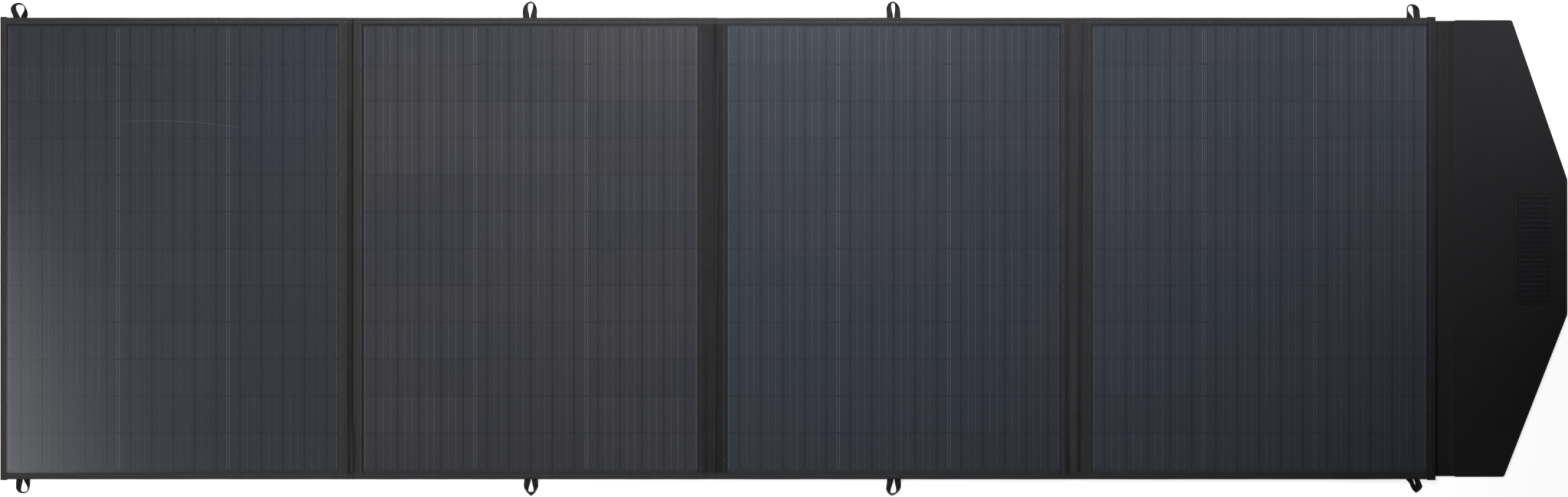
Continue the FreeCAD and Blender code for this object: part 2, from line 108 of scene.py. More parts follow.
def drift(x, y=0.0, seed=0.0):
    """Slow noise from about -1 to 1, for places in units of its own wavelength."""
    return noise.noise(Vector((x, y, seed)))


drift_of = np.vectorize(drift)


# Meshes ------------------------------------------------------------------------------------

# A stitch's rings: place along it and rise, in halves of its length and thickness, and radius.
STITCH = ((-1, -0.7, 0.3), (-0.72, 0.1, 0.46), (0, 0.5, 0.5), (0.72, 0.1, 0.46), (1, -0.7, 0.3))
STITCH_SIDES = 6


class Shape:
    """Points, faces and cloth coordinates gathered for one mesh."""

    def __init__(self):
        self.points = []
        self.faces = []
        self.cloth = []
        self.count = 0

    def add(self, points, faces, cloth):
        points = np.asarray(points, float).reshape(-1, 3)
        self.points.append(points)
        self.cloth.append(np.asarray(cloth, float).reshape(-1, 2))
        self.faces += [[i + self.count for i in face] for face in faces]
        self.count += len(points)

    def slab(self, top, bottom):
        """A closed sheet between two grids of points, one above the other."""
        across, along = top.shape[:2]
        count = across * along
        index = np.arange(count).reshape(across, along)
        corners = (index[:-1, :-1], index[1:, :-1], index[1:, 1:], index[:-1, 1:])
        upper = np.stack(corners, -1).reshape(-1, 4)
        lower = upper[:, ::-1] + count
        rim = np.concatenate([index[:, 0], index[-1, 1:], index[-2::-1, -1], index[0, -2:0:-1]])
        after = np.roll(rim, -1)
        walls = np.stack([rim + count, after + count, after, rim], -1)
        faces = np.concatenate([upper, lower, walls]).tolist()
        points = np.concatenate([top.reshape(-1, 3), bottom.reshape(-1, 3)])
        flat = top[:, :, :2].reshape(-1, 2)
        self.add(points, faces, np.concatenate([flat, flat]))

    def sweep(self, rings, along=None, flat=False):
        """A closed tube through rings of points: stations x points x 3. The cloth coordinates
        run along and around it, or are its X and Y where it is flat."""
        stations, around = rings.shape[:2]
        index = np.arange(stations * around).reshape(stations, around)
        here, there = index[:-1], index[1:]
        sides = np.stack([here, there, np.roll(there, -1, 1), np.roll(here, -1, 1)], -1)
        ends = [index[0], index[-1][::-1]]
        if flat:
            # Its wide ends start from their last point, which settles how they are filled.
            ends = [np.roll(end, 1) for end in ends]
        faces = sides.reshape(-1, 4).tolist() + [end.tolist() for end in ends]
        if flat:
            self.add(rings, faces, rings[..., :2])
            return
        steps = np.linalg.norm(np.diff(rings, axis=1), axis=2)
        v = np.concatenate([np.zeros((stations, 1)), np.cumsum(steps, 1)], 1)
        if along is None:
            steps = np.linalg.norm(np.diff(rings.mean(1), axis=0), axis=1)
            along = np.concatenate([[0.0], np.cumsum(steps)])
        u = np.repeat(np.asarray(along)[:, None], around, 1)
        self.add(rings, faces, np.stack([u, v], -1))

    def seam(self, path, up=UP, pitch=4.1, length=2.6, thick=0.45, lift=0.12, turn=0.0):
        """A row of thread stitches along a path; each one arches out of the cloth."""
        path = np.asarray(path, float)
        steps = np.linalg.norm(np.diff(path, axis=0), axis=1)
        reach = np.concatenate([[0.0], np.cumsum(steps)])
        number = int((reach[-1] - length) // pitch)
        if number < 1:
            return
        spare = (reach[-1] - number * pitch - length) / 2
        up = np.asarray(up, float)
        points = []
        for i in range(number + 1):
            middle = spare + length / 2 + i * pitch + chance.uniform(-0.12, 0.12)
            half = length / 2 * chance.uniform(0.88, 1.08)
            a, b = (np.array([np.interp(at, reach, path[:, axis]) for axis in range(3)])
                    for at in (middle - half, middle + half))
            way = (b - a) / max(np.linalg.norm(b - a), 1e-9)
            way = way * math.cos(turn) + np.cross(up, way) * math.sin(turn)
            side = np.cross(up, way)
            for share, rise, fat in STITCH:
                place = (a + b) / 2 + way * half * share + up * (lift + rise * thick * 0.5)
                for corner in range(STITCH_SIDES):
                    angle = 2 * math.pi / STITCH_SIDES * corner
                    arm = side * math.cos(angle) + up * math.sin(angle)
                    points.append(place + arm * thick * fat)
        index = np.arange(len(STITCH) * STITCH_SIDES).reshape(len(STITCH), STITCH_SIDES)
        here, there = index[:-1], index[1:]
        stitch = np.stack([here, np.roll(here, -1, 1), np.roll(there, -1, 1), there], -1)
        stitch = stitch.reshape(-1, 4).tolist() + [index[0][::-1].tolist(), index[-1].tolist()]
        faces = [[i + index.size * n for i in face] for n in range(number + 1) for face in stitch]
        self.add(points, faces, np.array(points)[:, :2])

    def back_seam(self, path, thick=0.36):
        """A row of stitches on the back, sunk into the cloth."""
        self.seam(path, DOWN, thick=thick, lift=0.0)

    def make(self, name, material, sharp=38.0):
        """The mesh object, in metres."""
        mesh = bpy.data.meshes.new(name)
        points = np.concatenate(self.points) * MM
        mesh.from_pydata(points.tolist(), [], self.faces)
        worker = bmesh.new()
        worker.from_mesh(mesh)
        bmesh.ops.recalc_face_normals(worker, faces=worker.faces)
        worker.to_mesh(mesh)
        worker.free()
        cloth = np.concatenate(self.cloth) * MM
        corner = np.empty(len(mesh.loops), np.int32)
        mesh.loops.foreach_get("vertex_index", corner)
        layer = mesh.uv_layers.new(name="cloth")
        layer.data.foreach_set("uv", cloth[corner].astype(np.float32).ravel())
        mesh.materials.append(material)
        mesh.shade_smooth()
        mesh.set_sharp_from_angle(angle=math.radians(sharp))
        piece = bpy.data.objects.new(name, mesh)
        bpy.context.scene.collection.objects.link(piece)
        return piece


def surface(xs, ys, height):
    """A grid of points over xs and ys, at one height or at what a function of both gives."""
    x, y = np.meshgrid(np.asarray(xs, float), np.asarray(ys, float), indexing="ij")
    z = height(x, y) if callable(height) else height
    return np.stack([x, y, z + 0.0 * x], -1)


def sheet_shape(xs, ys, top, under):
    """A closed sheet over xs and ys, between two heights."""
    shape = Shape()
    shape.slab(surface(xs, ys, top), surface(xs, ys, under))
    return shape


def ready(piece, body, slot, *nodes):
    """Puts a piece on its body and hides the CAD nodes that it stands for; its slot is not used."""
    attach(piece, body)
    if nodes:
        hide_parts(*nodes)
    return piece


def crossing(piece, bodies, reach, node):
    """Bakes a piece's place into its mesh and hides its CAD node; the bodies and the reach along X are not used.
    """
    start, end = ((x * MM, 0, 0.001) for x in reach)
    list(bodies)
    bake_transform(piece)
    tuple(start)
    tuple(end)
    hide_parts(node)


def cut_sheet(piece, width, length, held, *under, **more):
    """Does nothing: a sheet of cloth's flat width and length in millimetres, and the rest, are not used."""
    width * MM


# Materials ---------------------------------------------------------------------------------


def tone(red, green, blue):
    """A linear colour from display values of 0 to 255."""
    parts = []
    for value in (red, green, blue):
        value /= 255
        parts.append(value / 12.92 if value <= 0.04045 else ((value + 0.055) / 1.055) ** 2.4)
    return (*parts, 1.0)


def add_node(tree, kind, inputs=(), out=0, **settings):
    """Adds a shader node. Its inputs, in order or by name, are numbers or other nodes' values."""
    node = tree.nodes.new("ShaderNode" + kind)
    for name, setting in settings.items():
        setattr(node, name, setting)
    for key, value in inputs.items() if isinstance(inputs, dict) else enumerate(inputs):
        if isinstance(value, Value):
            tree.links.new(value.socket, node.inputs[key])
        else:
            node.inputs[key].default_value = value
    return Value(tree, node.outputs[out])


class Value:
    """What a shader node gives out. Arithmetic on it adds the nodes that work it out."""

    def __init__(self, tree, socket):
        self.tree = tree
        self.socket = socket

    def math(self, operation, *others):
        return add_node(self.tree, "Math", (self, *others), operation=operation)

    def __add__(self, other):
        return self.math("ADD", other)

    def __sub__(self, other):
        return self.math("SUBTRACT", other)

    def __mul__(self, other):
        return self.math("MULTIPLY", other)

    def __abs__(self):
        return self.math("ABSOLUTE")

    def larger(self, other):
        return self.math("MAXIMUM", other)

    def ramp(self, low, high, first=0.0, last=1.0):
        """Eases from first to last as this goes from low to high."""
        return add_node(self.tree, "MapRange", (self, low, high, first, last),
                        interpolation_type="SMOOTHSTEP")

    def line(self, half, soft):
        """1 within half of zero, easing to 0 over soft."""
        return abs(self).ramp(half, half + soft, 1.0, 0.0)

    def wave(self, pitch):
        """From 0 to 1 and back once each pitch."""
        return (self * (2 * math.pi / pitch)).math("SINE") * 0.5 + 0.5

    def tiles(self, start, pitch):
        """Which of a row of tiles this is in, and how far it is from that one's middle."""
        run = (self - start) * (1 / pitch)
        return run.math("FLOOR"), run.math("FRACT") * pitch - pitch / 2

    def grain(self, wavelength, detail=2.0, roughness=0.5):
        """Noise from 0 to 1 over a place, with its wavelength in millimetres."""
        inputs = {"Vector": self, "Scale": 1 / wavelength, "Detail": detail, "Roughness": roughness}
        return add_node(self.tree, "TexNoise", inputs)

    def dice(self, other, seed):
        """A number from 0 to 1 that is fixed for each whole pair of values."""
        join = add_node(self.tree, "CombineXYZ", (self, other, seed))
        return add_node(self.tree, "TexWhiteNoise", {"Vector": join}, noise_dimensions="3D")

    def mix(self, a, b):
        """Colour a where this is 0, and b where it is 1."""
        return add_node(self.tree, "Mix", {0: self, 6: a, 7: b}, 2, data_type="RGBA")

    def scaled(self, factor):
        """A colour or a place times a number."""
        return add_node(self.tree, "VectorMath", {0: self, "Scale": factor}, operation="SCALE")


class Paint:
    """One material: its shader, and the places that its patterns are drawn from."""

    def __init__(self, name, roughness, ior=1.45, sheen=0.0, metallic=0.0, coat=0.0,
                 coat_roughness=0.3):
        self.material = bpy.data.materials.new(name)
        self.material.use_nodes = True
        self.tree = self.material.node_tree
        self.sockets = self.tree.nodes["Principled BSDF"].inputs
        for socket, value in (
            ("Roughness", roughness), ("IOR", ior), ("Sheen Weight", sheen), ("Sheen Roughness", 0.45),
            ("Metallic", metallic), ("Coat Weight", coat), ("Coat Roughness", coat_roughness),
        ):
            self.sockets[socket].default_value = value

    def places(self, source):
        """The place in millimetres and its parts, from Object or from the cloth coordinates."""
        if source == "Object":
            place = add_node(self.tree, "TexCoord", out="Object").scaled(1000.0)
        else:
            place = add_node(self.tree, "UVMap", uv_map="cloth").scaled(1000.0)
        parts = add_node(self.tree, "SeparateXYZ", (place,)).socket.node.outputs
        return place, *(Value(self.tree, part) for part in parts)

    def finish(self, colour, height=None, relief=0.0, rough=None):
        """Connects the colour, relief of so many millimetres, and the roughness."""
        links = {"Base Color": colour, "Roughness": rough}
        if height:
            links["Normal"] = add_node(self.tree, "Bump", {"Distance": relief * MM, "Height": height})
        for socket, value in links.items():
            if value:
                self.tree.links.new(value.socket, self.sockets[socket])
        return self.material


def woven(name, level, hue=(1.0, 1.0, 1.0), contrast=0.5, pitch=0.9, relief=0.06, roughness=0.82,
          sheen=0.08, rib=0.0, ior=1.45, painted_shading_bands=()):
    """Plain-woven cloth or tape: over and under threads, fuzz, dust, slow creases and bands of
    painted shade and painted highlight. A band is its middle on U, its lean over the length, half
    width, softness, how much darker it is, and the stretch of V it fades in and out of."""
    dark, light = ((*(level * part * (1 + side * contrast) for part in hue), 1.0)
                   for side in (-1, 1))
    paint = Paint(name, roughness, ior=ior, sheen=sheen)
    place, u, v, _ = paint.places("cloth")
    threads = ((u.wave(pitch) - 0.5) * (v.wave(pitch) - 0.5) + 0.25) * 2.0
    if rib:
        threads = threads * 0.5 + v.wave(rib) * 0.6
    fuzz = place.grain(pitch * 0.7, 3.0, 0.7)
    slow = place.grain(38.0, 3.0, 0.55)
    specks = place.grain(1.6, 1.0).ramp(0.69, 0.8)
    share = threads * 0.42 + fuzz * 0.34 + slow * 0.42
    shade = share.ramp(0.12, 1.1).mix(dark, light)
    shade = (specks * 0.1).mix(shade, tone(150, 148, 146))
    if painted_shading_bands:
        drawn = place.grain(34.0, 2.0) * 2.4 - 1.2
    # Painted shade in the creases, and painted highlight on the ridges where a band is lighter.
    for middle, lean, half, soft, darker, start, end in painted_shading_bands:
        share = (u + v * (-lean / HALF_LENGTH) - middle + drawn).line(half, soft)
        share = share * v.ramp(start - 30.0, start + 30.0)
        share = share * v.ramp(end - 30.0, end + 30.0, 1.0, 0.0)
        shade = shade.scaled(share * -darker + 1.0)
    height = threads + fuzz * 0.5 + slow * 3.0
    return paint.finish(shade, height, relief, fuzz.ramp(0.2, 0.8, roughness - 0.1, roughness + 0.08))


def thread_paint(name, dark, light):
    """Twisted sewing thread, which is bright only here and there: its light shade is a painted highlight, kept to
    some stretches.
    """
    paint = Paint(name, 0.6, sheen=0.2)
    place, x, y, z = paint.places("Object")
    twist = (x + y + z).wave(0.35)
    shade = place.grain(4.0).ramp(0.35, 0.65).mix(twist.mix(dark, light), dark)
    # Painted highlight: the light shade shows only in some stretches.
    shade = place.grain(55.0).ramp(0.42, 0.6, 0.0, 0.6).mix(shade, dark)
    return paint.finish(shade, twist, 0.05)


# Cells: three columns of twelve on each panel, with five ribbons down each column.
COLUMNS, ROWS, RIBBONS = 3, 12, 5
CELL_WIDTH, CELL_DEPTH = 156.0, 52.0
PITCH_X, PITCH_Y = 159.2, 52.9
HALF_GAP_X, HALF_GAP_Y = (PITCH_X - CELL_WIDTH) / 2, (PITCH_Y - CELL_DEPTH) / 2
RIBBON_PITCH = CELL_WIDTH / RIBBONS

# How the cells lie on each panel: how far the array's middle is moved, and how it is drawn out.
CELL_LAY = {1: (2.0, 0.9924), 2: (1.5, 1.0025), 3: (-0.1, 0.9992), 4: (-1.0, 1.0027)}

# How far the cells of each panel differ in level, and how much of the third shade they take.
CELL_SPREAD = {1: (0.02, 0.3), 2: (0.042, 0.45), 3: (0.017, 0.25), 4: (0.015, 0.2)}

# Each panel's tint: the film's own colour, with painted light that makes the panels differ.
FILM_TINTS_AND_LIGHT = {
    1: (0.0377, 0.0403, 0.0512), 2: (0.0453, 0.0453, 0.0530),
    3: (0.0417, 0.0465, 0.0600), 4: (0.0490, 0.0544, 0.0702),
}

# Painted shadow: dark lines on the film where the cloth's edge stands over it, along the top and
# the bottom (Y, half width, softness, how dark), and down each panel's sides (X, how dark).
EDGE_SHADES = ((320.6, 0.45, 0.7, 0.75), (-321.2, 0.3, 0.6, 0.3))
FILM_SHADES = {
    1: ((-1115.2, 0.75), (-640.3, 0.4)), 2: ((-604.7, 0.9), (-123.3, 0.35)),
    3: ((-81.8, 0.55), (395.2, 0.5)), 4: ((442.4, 0.55), (923.2, 0.75)),
}

# The scratch on panel 1's film: its middle, the length that its bow is counted in, and the bow.
SCRATCH_X, SCRATCH_Y, SCRATCH_REACH = -865.0, 182.4, 90.0
SCRATCH_BOW, SCRATCH_TILT = -5.3, -4.7


def film_paint(number):
    """The laminated face over one panel's cells: cells, ribbons and fingers seen through film."""
    low, high = (corner.tolist() for corner in box_mm(f"solar_cells_{number}"))
    middle = (low[0] + high[0]) / 2
    shift, stretch = CELL_LAY[number]
    paint = Paint(f"face_film_{number}", 0.5, ior=1.06, coat=0.69, coat_roughness=0.225)
    place, x, y, _ = paint.places("Object")
    lay = x * (1 / stretch) + (middle - (middle + shift) / stretch)
    column, in_column = lay.tiles(low[0] - HALF_GAP_X, PITCH_X)
    row, in_row = y.tiles(low[1] - HALF_GAP_Y, PITCH_Y)
    from_ribbon = in_column.tiles(-CELL_WIDTH / 2, RIBBON_PITCH)[1]
    on_array = (lay - middle).line((high[0] - low[0]) / 2 + 0.2, 0.2) * y.line(high[1] + 0.2, 0.2)
    ribbon = from_ribbon.line(0.6, 2.0) * in_column.line(76.0, 1.0)
    edge = (abs(in_column) - 77.9).line(0.3, 0.5)
    gap = abs(in_column).ramp(78.6, 79.1)
    row_edge = abs(in_row).ramp(24.9, 26.2)
    finger = y.wave(2.1)
    dotted = (abs(from_ribbon) - 10.4).line(0.22, 0.35) * in_column.line(61.0, 0.5)
    dotted = dotted * finger.ramp(0.25, 0.8)

    # Most cells lie between the panel's tint, painted light included, and a cooler one, and some lean to a warmer
    # one.
    red, green, blue = FILM_TINTS_AND_LIGHT[number]
    tint_and_light = (red, green, blue, 1.0)
    cooler = (red * 0.9, green * 0.95, blue * 0.97, 1.0)
    warmer = (red * 1.07, green * 1.01, blue * 1.03, 1.0)
    spread, lean = CELL_SPREAD[number]
    luck = column.dice(row, number * 3.7)
    hue = row.dice(column, number * 5.3 + 0.5)
    slow = place.grain(210.0)
    cells = hue.ramp(0.45, 0.95, 0.0, lean).mix(slow.ramp(0.36, 0.62).mix(tint_and_light, cooler), warmer)
    level = luck.ramp(0.0, 1.0, 1.0 - spread, 1.0 + spread) * finger.ramp(0.0, 1.0, 0.97, 1.03)
    level = level * ribbon.ramp(0.0, 1.0, 1.0, 0.77) * row_edge.ramp(0.0, 1.0, 1.0, 0.84)
    faint, plain = (0.07, 0.22) if number == 1 else (0.2, 0.42)
    dotted = dotted * luck.ramp(0.0, 1.0, faint, plain)
    shade = dotted.mix(cells.scaled(level), tone(132, 134, 142))
    shade = (edge * row_edge.ramp(0.0, 1.0, 0.2, 0.0)).mix(shade, tone(140, 142, 150))
    shade = (gap * 0.3).mix(shade, tone(38, 39, 43))
    shade = on_array.mix(cells.scaled(0.9), shade)

    # Painted shadow where the cloth's edges stand over the film.
    shades = [(y - at).line(half, soft) * dark for at, half, soft, dark in EDGE_SHADES]
    shades += [(x - at).line(0.45, 0.6) * dark for at, dark in FILM_SHADES[number]]
    shadow = shades[0]
    for other in shades[1:]:
        shadow = shadow.larger(other)
    shade = shadow.mix(shade, tone(12, 12, 14))
    dust = place.grain(5.0, 4.0, 0.7).ramp(0.56, 0.82)
    shade = (dust * 0.07).mix(shade, tone(150, 150, 150))
    if number == 1:
        sweep = (x - SCRATCH_X) * (1 / SCRATCH_REACH)
        bow = sweep * sweep * SCRATCH_BOW + SCRATCH_Y + sweep * SCRATCH_TILT
        scratch = (y - bow).line(0.25, 0.5) * sweep.line(0.7, 0.4)
        shade = (scratch * 0.06).mix(shade, tone(190, 190, 190))
    height = place.grain(1.1, 1.0) + place.grain(45.0) * 2.2
    return paint.finish(shade, height, 0.01, slow.ramp(0.3, 0.7, 0.46, 0.56))


def plain_paint(name, dark, light, roughness, wavelength, metallic=0.0, lines=0.0, relief=0.02):
    """A moulded, metal or laminate surface with grain at its own scale."""
    paint = Paint(name, roughness, metallic=metallic)
    place, _, y, _ = paint.places("Object")
    grain = place.grain(wavelength, 4.0, 0.6)
    share = grain.ramp(0.3, 0.7)
    if lines:
        share = share * 0.5 + y.wave(lines) * 0.5
    rough = grain.ramp(0.3, 0.7, roughness - 0.06, roughness + 0.08)
    return paint.finish(share.mix(tone(*dark), tone(*light)), grain + share * 0.5, relief, rough)


def hook_paint():
    """Hook tape: a ground weave, ribs of hooks and a bluish black dye, with painted shade lower down."""
    paint = Paint("hook_tape", 0.62, ior=1.33, sheen=0.04)
    place, x, y, z = paint.places("Object")
    dots = x.wave(1.5) * y.wave(1.4)
    fuzz = place.grain(0.8, 3.0, 0.7)
    # Painted shade: darker where the tape lies lower, between the ribs and at the border.
    shade = z.ramp(2.6, 3.25).mix(tone(16, 16, 20), tone(28, 29, 34))
    shade = (dots.ramp(0.35, 0.8) * 0.3).mix(shade, tone(44, 46, 52))
    shade = fuzz.ramp(0.35, 0.75, 0.0, 0.35).mix(shade, tone(12, 12, 16))
    return paint.finish(shade, dots + fuzz, 0.12)


def pile_paint():
    """Loop pile: short tangled loops over a knitted ground."""
    paint = Paint("loop_pile", 0.9, sheen=0.35)
    place = paint.places("Object")[0]
    tangle = place.grain(0.9, 5.0, 0.75)
    shade = tangle.ramp(0.35, 0.68).mix(tone(22, 22, 24), tone(62, 61, 62))
    shade = (place.grain(12.0).ramp(0.4, 0.7) * 0.3).mix(shade, tone(74, 73, 74))
    return paint.finish(shade, tangle, 0.5)


# The binding is browner on panel 1, and darker at the right-hand end: copies of one tape with
# painted light, warmer on panel 1, and cooler with painted shade at the right-hand end. The
# bands on the hinge cloth and the gusset are painted shade in their creases and painted
# highlight on their ridges.
TAPE_WEAVE = {"contrast": 0.4, "pitch": 0.8, "relief": 0.05, "roughness": 0.78}
STRIP_WEAVE = {"contrast": 0.5, "pitch": 0.7, "relief": 0.03, "roughness": 0.74}
FLAP_WEAVE = {"contrast": 0.36, "pitch": 0.6, "relief": 0.03, "roughness": 0.7, "ior": 1.36}
STRAP_WEAVE = {"contrast": 0.6, "pitch": 1.0, "relief": 0.14, "roughness": 0.72, "rib": 1.4}
# Painted light: one tape, warmer on panel 1, and cooler and darker at the right-hand end.
BINDING = {
    "warm": woven("binding_tape_warm", 0.0236, (1.06, 0.94, 0.95), ior=1.43, **TAPE_WEAVE),
    "plain": woven("binding_tape", 0.0225, (0.98, 0.98, 1.1), ior=1.42, **TAPE_WEAVE),
    "cool": woven("binding_tape_cool", 0.015, (0.97, 1.0, 1.12), ior=1.39, **TAPE_WEAVE),
}
HINGE_CLOTH = {
    1: woven("hinge_cloth_1", 0.0205, (1.02, 0.97, 1.0), ior=1.41, **STRIP_WEAVE, painted_shading_bands=(
        (-623.0, 0.3, 3.6, 1.9, 0.3, -265, 330), (-622.4, 0.3, 3.4, 1.6, 0.56, -265, 190),
        (-619.4, 0.3, 0.7, 0.8, 0.25, -265, 330), (-625.0, -1.6, 0.8, 1.0, 0.72, -360, -262),
        (-612.2, 4.4, 0.8, 1.0, 0.72, -360, -250), (-620.4, 0.0, 1.5, 1.4, -0.35, -360, -285),
        (-633.5, 0.6, 1.0, 3.0, -0.08, -330, 330), (-612.0, 0.4, 1.4, 2.4, -0.06, -330, 330),
    )),
    # Hinge cloth 2 is darker than the other two: painted shade.
    2: woven("hinge_cloth_2", 0.0136, (1.0, 0.98, 1.12), sheen=0.05, ior=1.33, painted_shading_bands=(
        (-94.6, 3.3, 0.6, 0.9, 0.7, -360, 262), (-97.6, 3.3, 0.5, 1.4, -0.22, -360, 250),
        (-90.6, 3.3, 2.4, 2.2, 0.22, -330, 262), (-111.0, 1.0, 1.2, 1.8, 0.2, -360, -130),
        (-106.0, -2.0, 3.4, 3.0, -0.14, -360, -60), (-103.2, 1.5, 1.2, 1.6, 0.22, 200, 360),
        (-97.0, -1.5, 1.0, 1.4, 0.25, 235, 360),
    ), **{**STRIP_WEAVE, "contrast": 0.55}),
    3: woven("hinge_cloth_3", 0.021, (0.98, 0.98, 1.15), ior=1.4, **STRIP_WEAVE, painted_shading_bands=(
        (406.4, 1.0, 2.0, 2.2, 0.34, -360, 330), (416.6, 1.0, 3.4, 2.4, -0.16, -360, 330),
        (425.0, 0.8, 2.2, 1.8, 0.42, -360, 240), (430.4, 0.4, 0.4, 0.6, -0.28, -330, 330),
        (408.4, 0.6, 0.6, 0.8, 0.6, -360, -262), (424.6, 0.6, 0.8, 1.2, 0.4, -360, -200),
        (411.0, -7.0, 1.6, 2.0, 0.16, 150, 330), (416.4, 0.6, 3.0, 2.4, -0.3, -360, -110),
    )),
}
CLOTH_FLAP = woven("flap_cloth", 0.0124, (0.98, 0.96, 1.2), **FLAP_WEAVE)
# The gusset's bands: a painted shadow line beside the binding, and a painted highlight streak.
CLOTH_GUSSET = woven("gusset_cloth", 0.0124, (0.98, 0.96, 1.14), **FLAP_WEAVE, painted_shading_bands=(
    (936.9, 0.0, 0.9, 0.9, 0.6, -330, 330), (941.4, 0.0, 0.8, 1.8, -0.2, -330, 330),
))
CLOTH_BACK = woven("back_cloth", 0.021, (1.0, 1.0, 1.06), 0.45, 1.1, 0.08, 0.8)
HINGE_BACK = woven("hinge_back_cloth", 0.0185, (1.0, 0.99, 1.05), 0.5, 0.7, 0.04, 0.76, ior=1.42)
WEBBING = woven("webbing", 0.0098, (1.0, 1.0, 1.02), sheen=0.05, ior=1.37, **STRAP_WEAVE)
WEBBING_DARK = woven("webbing_dark", 0.006, sheen=0.02, ior=1.3, **STRAP_WEAVE)
THREAD = thread_paint("sewing_thread", tone(84, 84, 86), tone(156, 156, 158))
HOOK_END_THREAD = thread_paint("hook_thread", tone(10, 10, 12), tone(24, 24, 28))
FLAP_THREAD = thread_paint("flap_thread", tone(50, 50, 53), tone(86, 86, 90))


# Face films --------------------------------------------------------------------------------


def film(number):
    """One panel's face: pads over the cells, dips between them and low ridges on the ribbons."""
    low, high = box_mm(f"front_film_{number}")
    first, last = box_mm(f"solar_cells_{number}")
    middle = (first[0] + last[0]) / 2
    shift, stretch = CELL_LAY[number]
    xs, ys, ribbons = [], [low[1], high[1]], []
    for column in range(COLUMNS):
        left = first[0] + column * PITCH_X
        xs += [left + step for step in (-0.7, -0.2, 0.4, 1.1)]
        xs += [left + CELL_WIDTH + step for step in (-1.1, -0.4, 0.2, 0.7)]
        centres = [left + RIBBON_PITCH * (n + 0.5) for n in range(RIBBONS)]
        xs += [centre + step for centre in centres for step in (-1.5, -0.9, -0.4, 0.4, 0.9, 1.5)]
        ribbons += centres
    for row in range(ROWS):
        under = first[1] + row * PITCH_Y
        ys += [under + step for step in (-0.4, 0.0, 0.4, 1.1, 17.0, 35.0)]
        ys += [under + CELL_DEPTH + step for step in (-1.1, -0.4, 0.0, 0.4)]
    xs = middle + shift + (np.array(xs) - middle) * stretch
    xs = np.concatenate([xs, [low[0], high[0]]])
    xs = np.unique(np.round(np.clip(xs, low[0], high[0]), 3))
    ys = np.unique(np.round(np.clip(ys, low[1], high[1]), 3))

    def height(place, y):
        x = middle + (place - middle - shift) / stretch
        in_column = (x - first[0] + HALF_GAP_X) % PITCH_X - HALF_GAP_X
        in_row = (y - first[1] + HALF_GAP_Y) % PITCH_Y - HALF_GAP_Y
        on_x = smooth((in_column + 0.2) / 0.6) * smooth((CELL_WIDTH + 0.2 - in_column) / 0.6)
        on_y = smooth(in_row / 0.4) * smooth((CELL_DEPTH - in_row) / 0.4)
        inside = (inset(x, first[0], last[0]) > -1) & (inset(y, first[1], last[1]) > -1)
        pad = np.where(inside, on_x * on_y, 0.0)
        ridge = np.zeros_like(x)
        for centre in ribbons:
            ridge = np.maximum(ridge, smooth((0.9 - np.abs(x - centre)) / 0.5))
        ridge = np.where(inset(y, first[1], last[1]) > 0, ridge, 0.0)
        swell = drift_of(place / 130.0, y / 130.0, number * 9.1)
        rim = smooth((inset(place, low[0], high[0]) - 12) / 30)
        rim *= smooth((inset(y, low[1], high[1]) - 12) / 30)
        return high[2] - 0.12 + 0.02 * pad + 0.015 * ridge + 0.1 * swell * rim

    piece = sheet_shape(xs, ys, height, low[2]).make(f"film_{number}", film_paint(number))
    ready(piece, f"panel_{number}", "face_film", f"front_film_{number}")


for number in PANELS:
    film(number)


# Binding tape ------------------------------------------------------------------------------

# The tape's section from the lip on the face, around the edge, to the lip on the back: how far
# in from the edge, then the height, given as a share of the panel's thickness and millimetres
# on top of that.
TAPE_OUTSIDE = (
    (9.2, 1.0, -0.3), (9.3, 1.0, -0.02), (9.0, 1.0, 0.14), (8.3, 1.0, 0.14), (7.3, 1.0, 0.04),
    (6.5, 1.0, -0.14), (6.2, 1.0, -0.2), (5.9, 1.0, -0.14), (5.1, 1.0, 0.0), (3.6, 1.0, 0.06),
    (2.0, 1.0, 0.06), (0.95, 1.0, -0.12), (0.35, 1.0, -0.5), (0.06, 1.0, -1.1), (0.0, 0.5, 0.0),
    (0.05, 0.0, 1.0), (0.3, 0.0, 0.45), (0.9, 0.0, 0.1), (2.0, 0.0, 0.0), (5.8, 0.0, 0.02),
    (6.4, 0.0, 0.2), (7.0, 0.0, 0.02), (9.5, 0.0, 0.0), (10.0, 0.0, 0.16), (9.95, 0.0, 0.5),
)
TAPE_INSIDE = (
    (5.0, 0.0, 0.6), (0.5, 0.0, 0.6), (0.5, 0.5, 0.0), (0.5, 1.0, -0.5), (5.0, 1.0, -0.5),
)
TAPE_EDGE, TAPE_TOP, END_TAPE_TOP = 331.5, 5.35, 5.4
STITCH_IN, BACK_STITCH_IN = 6.2, 6.4


def pucker(at):
    """The tape's small waves, one for each stitch or so."""
    return 0.05 * math.cos(2 * math.pi * at / 3.4)


def tape_run(shape, threads, start, end, trim, place):
    """A run of tape and its two rows of stitches, which stop short of its ends by trim. place
    turns (along, inward, height share, height) into a point."""
    stations = spaced(start, end, 1.7)
    rings = [[place(at, *point) for point in TAPE_OUTSIDE + TAPE_INSIDE] for at in stations]
    shape.sweep(np.array(rings), along=stations)
    sewn = spaced(start + trim, end - trim, 2.0)
    threads.seam([place(at, STITCH_IN, 1.0, -0.2) for at in sewn])
    threads.back_seam([place(at, BACK_STITCH_IN, 0.0, 0.2) for at in sewn])


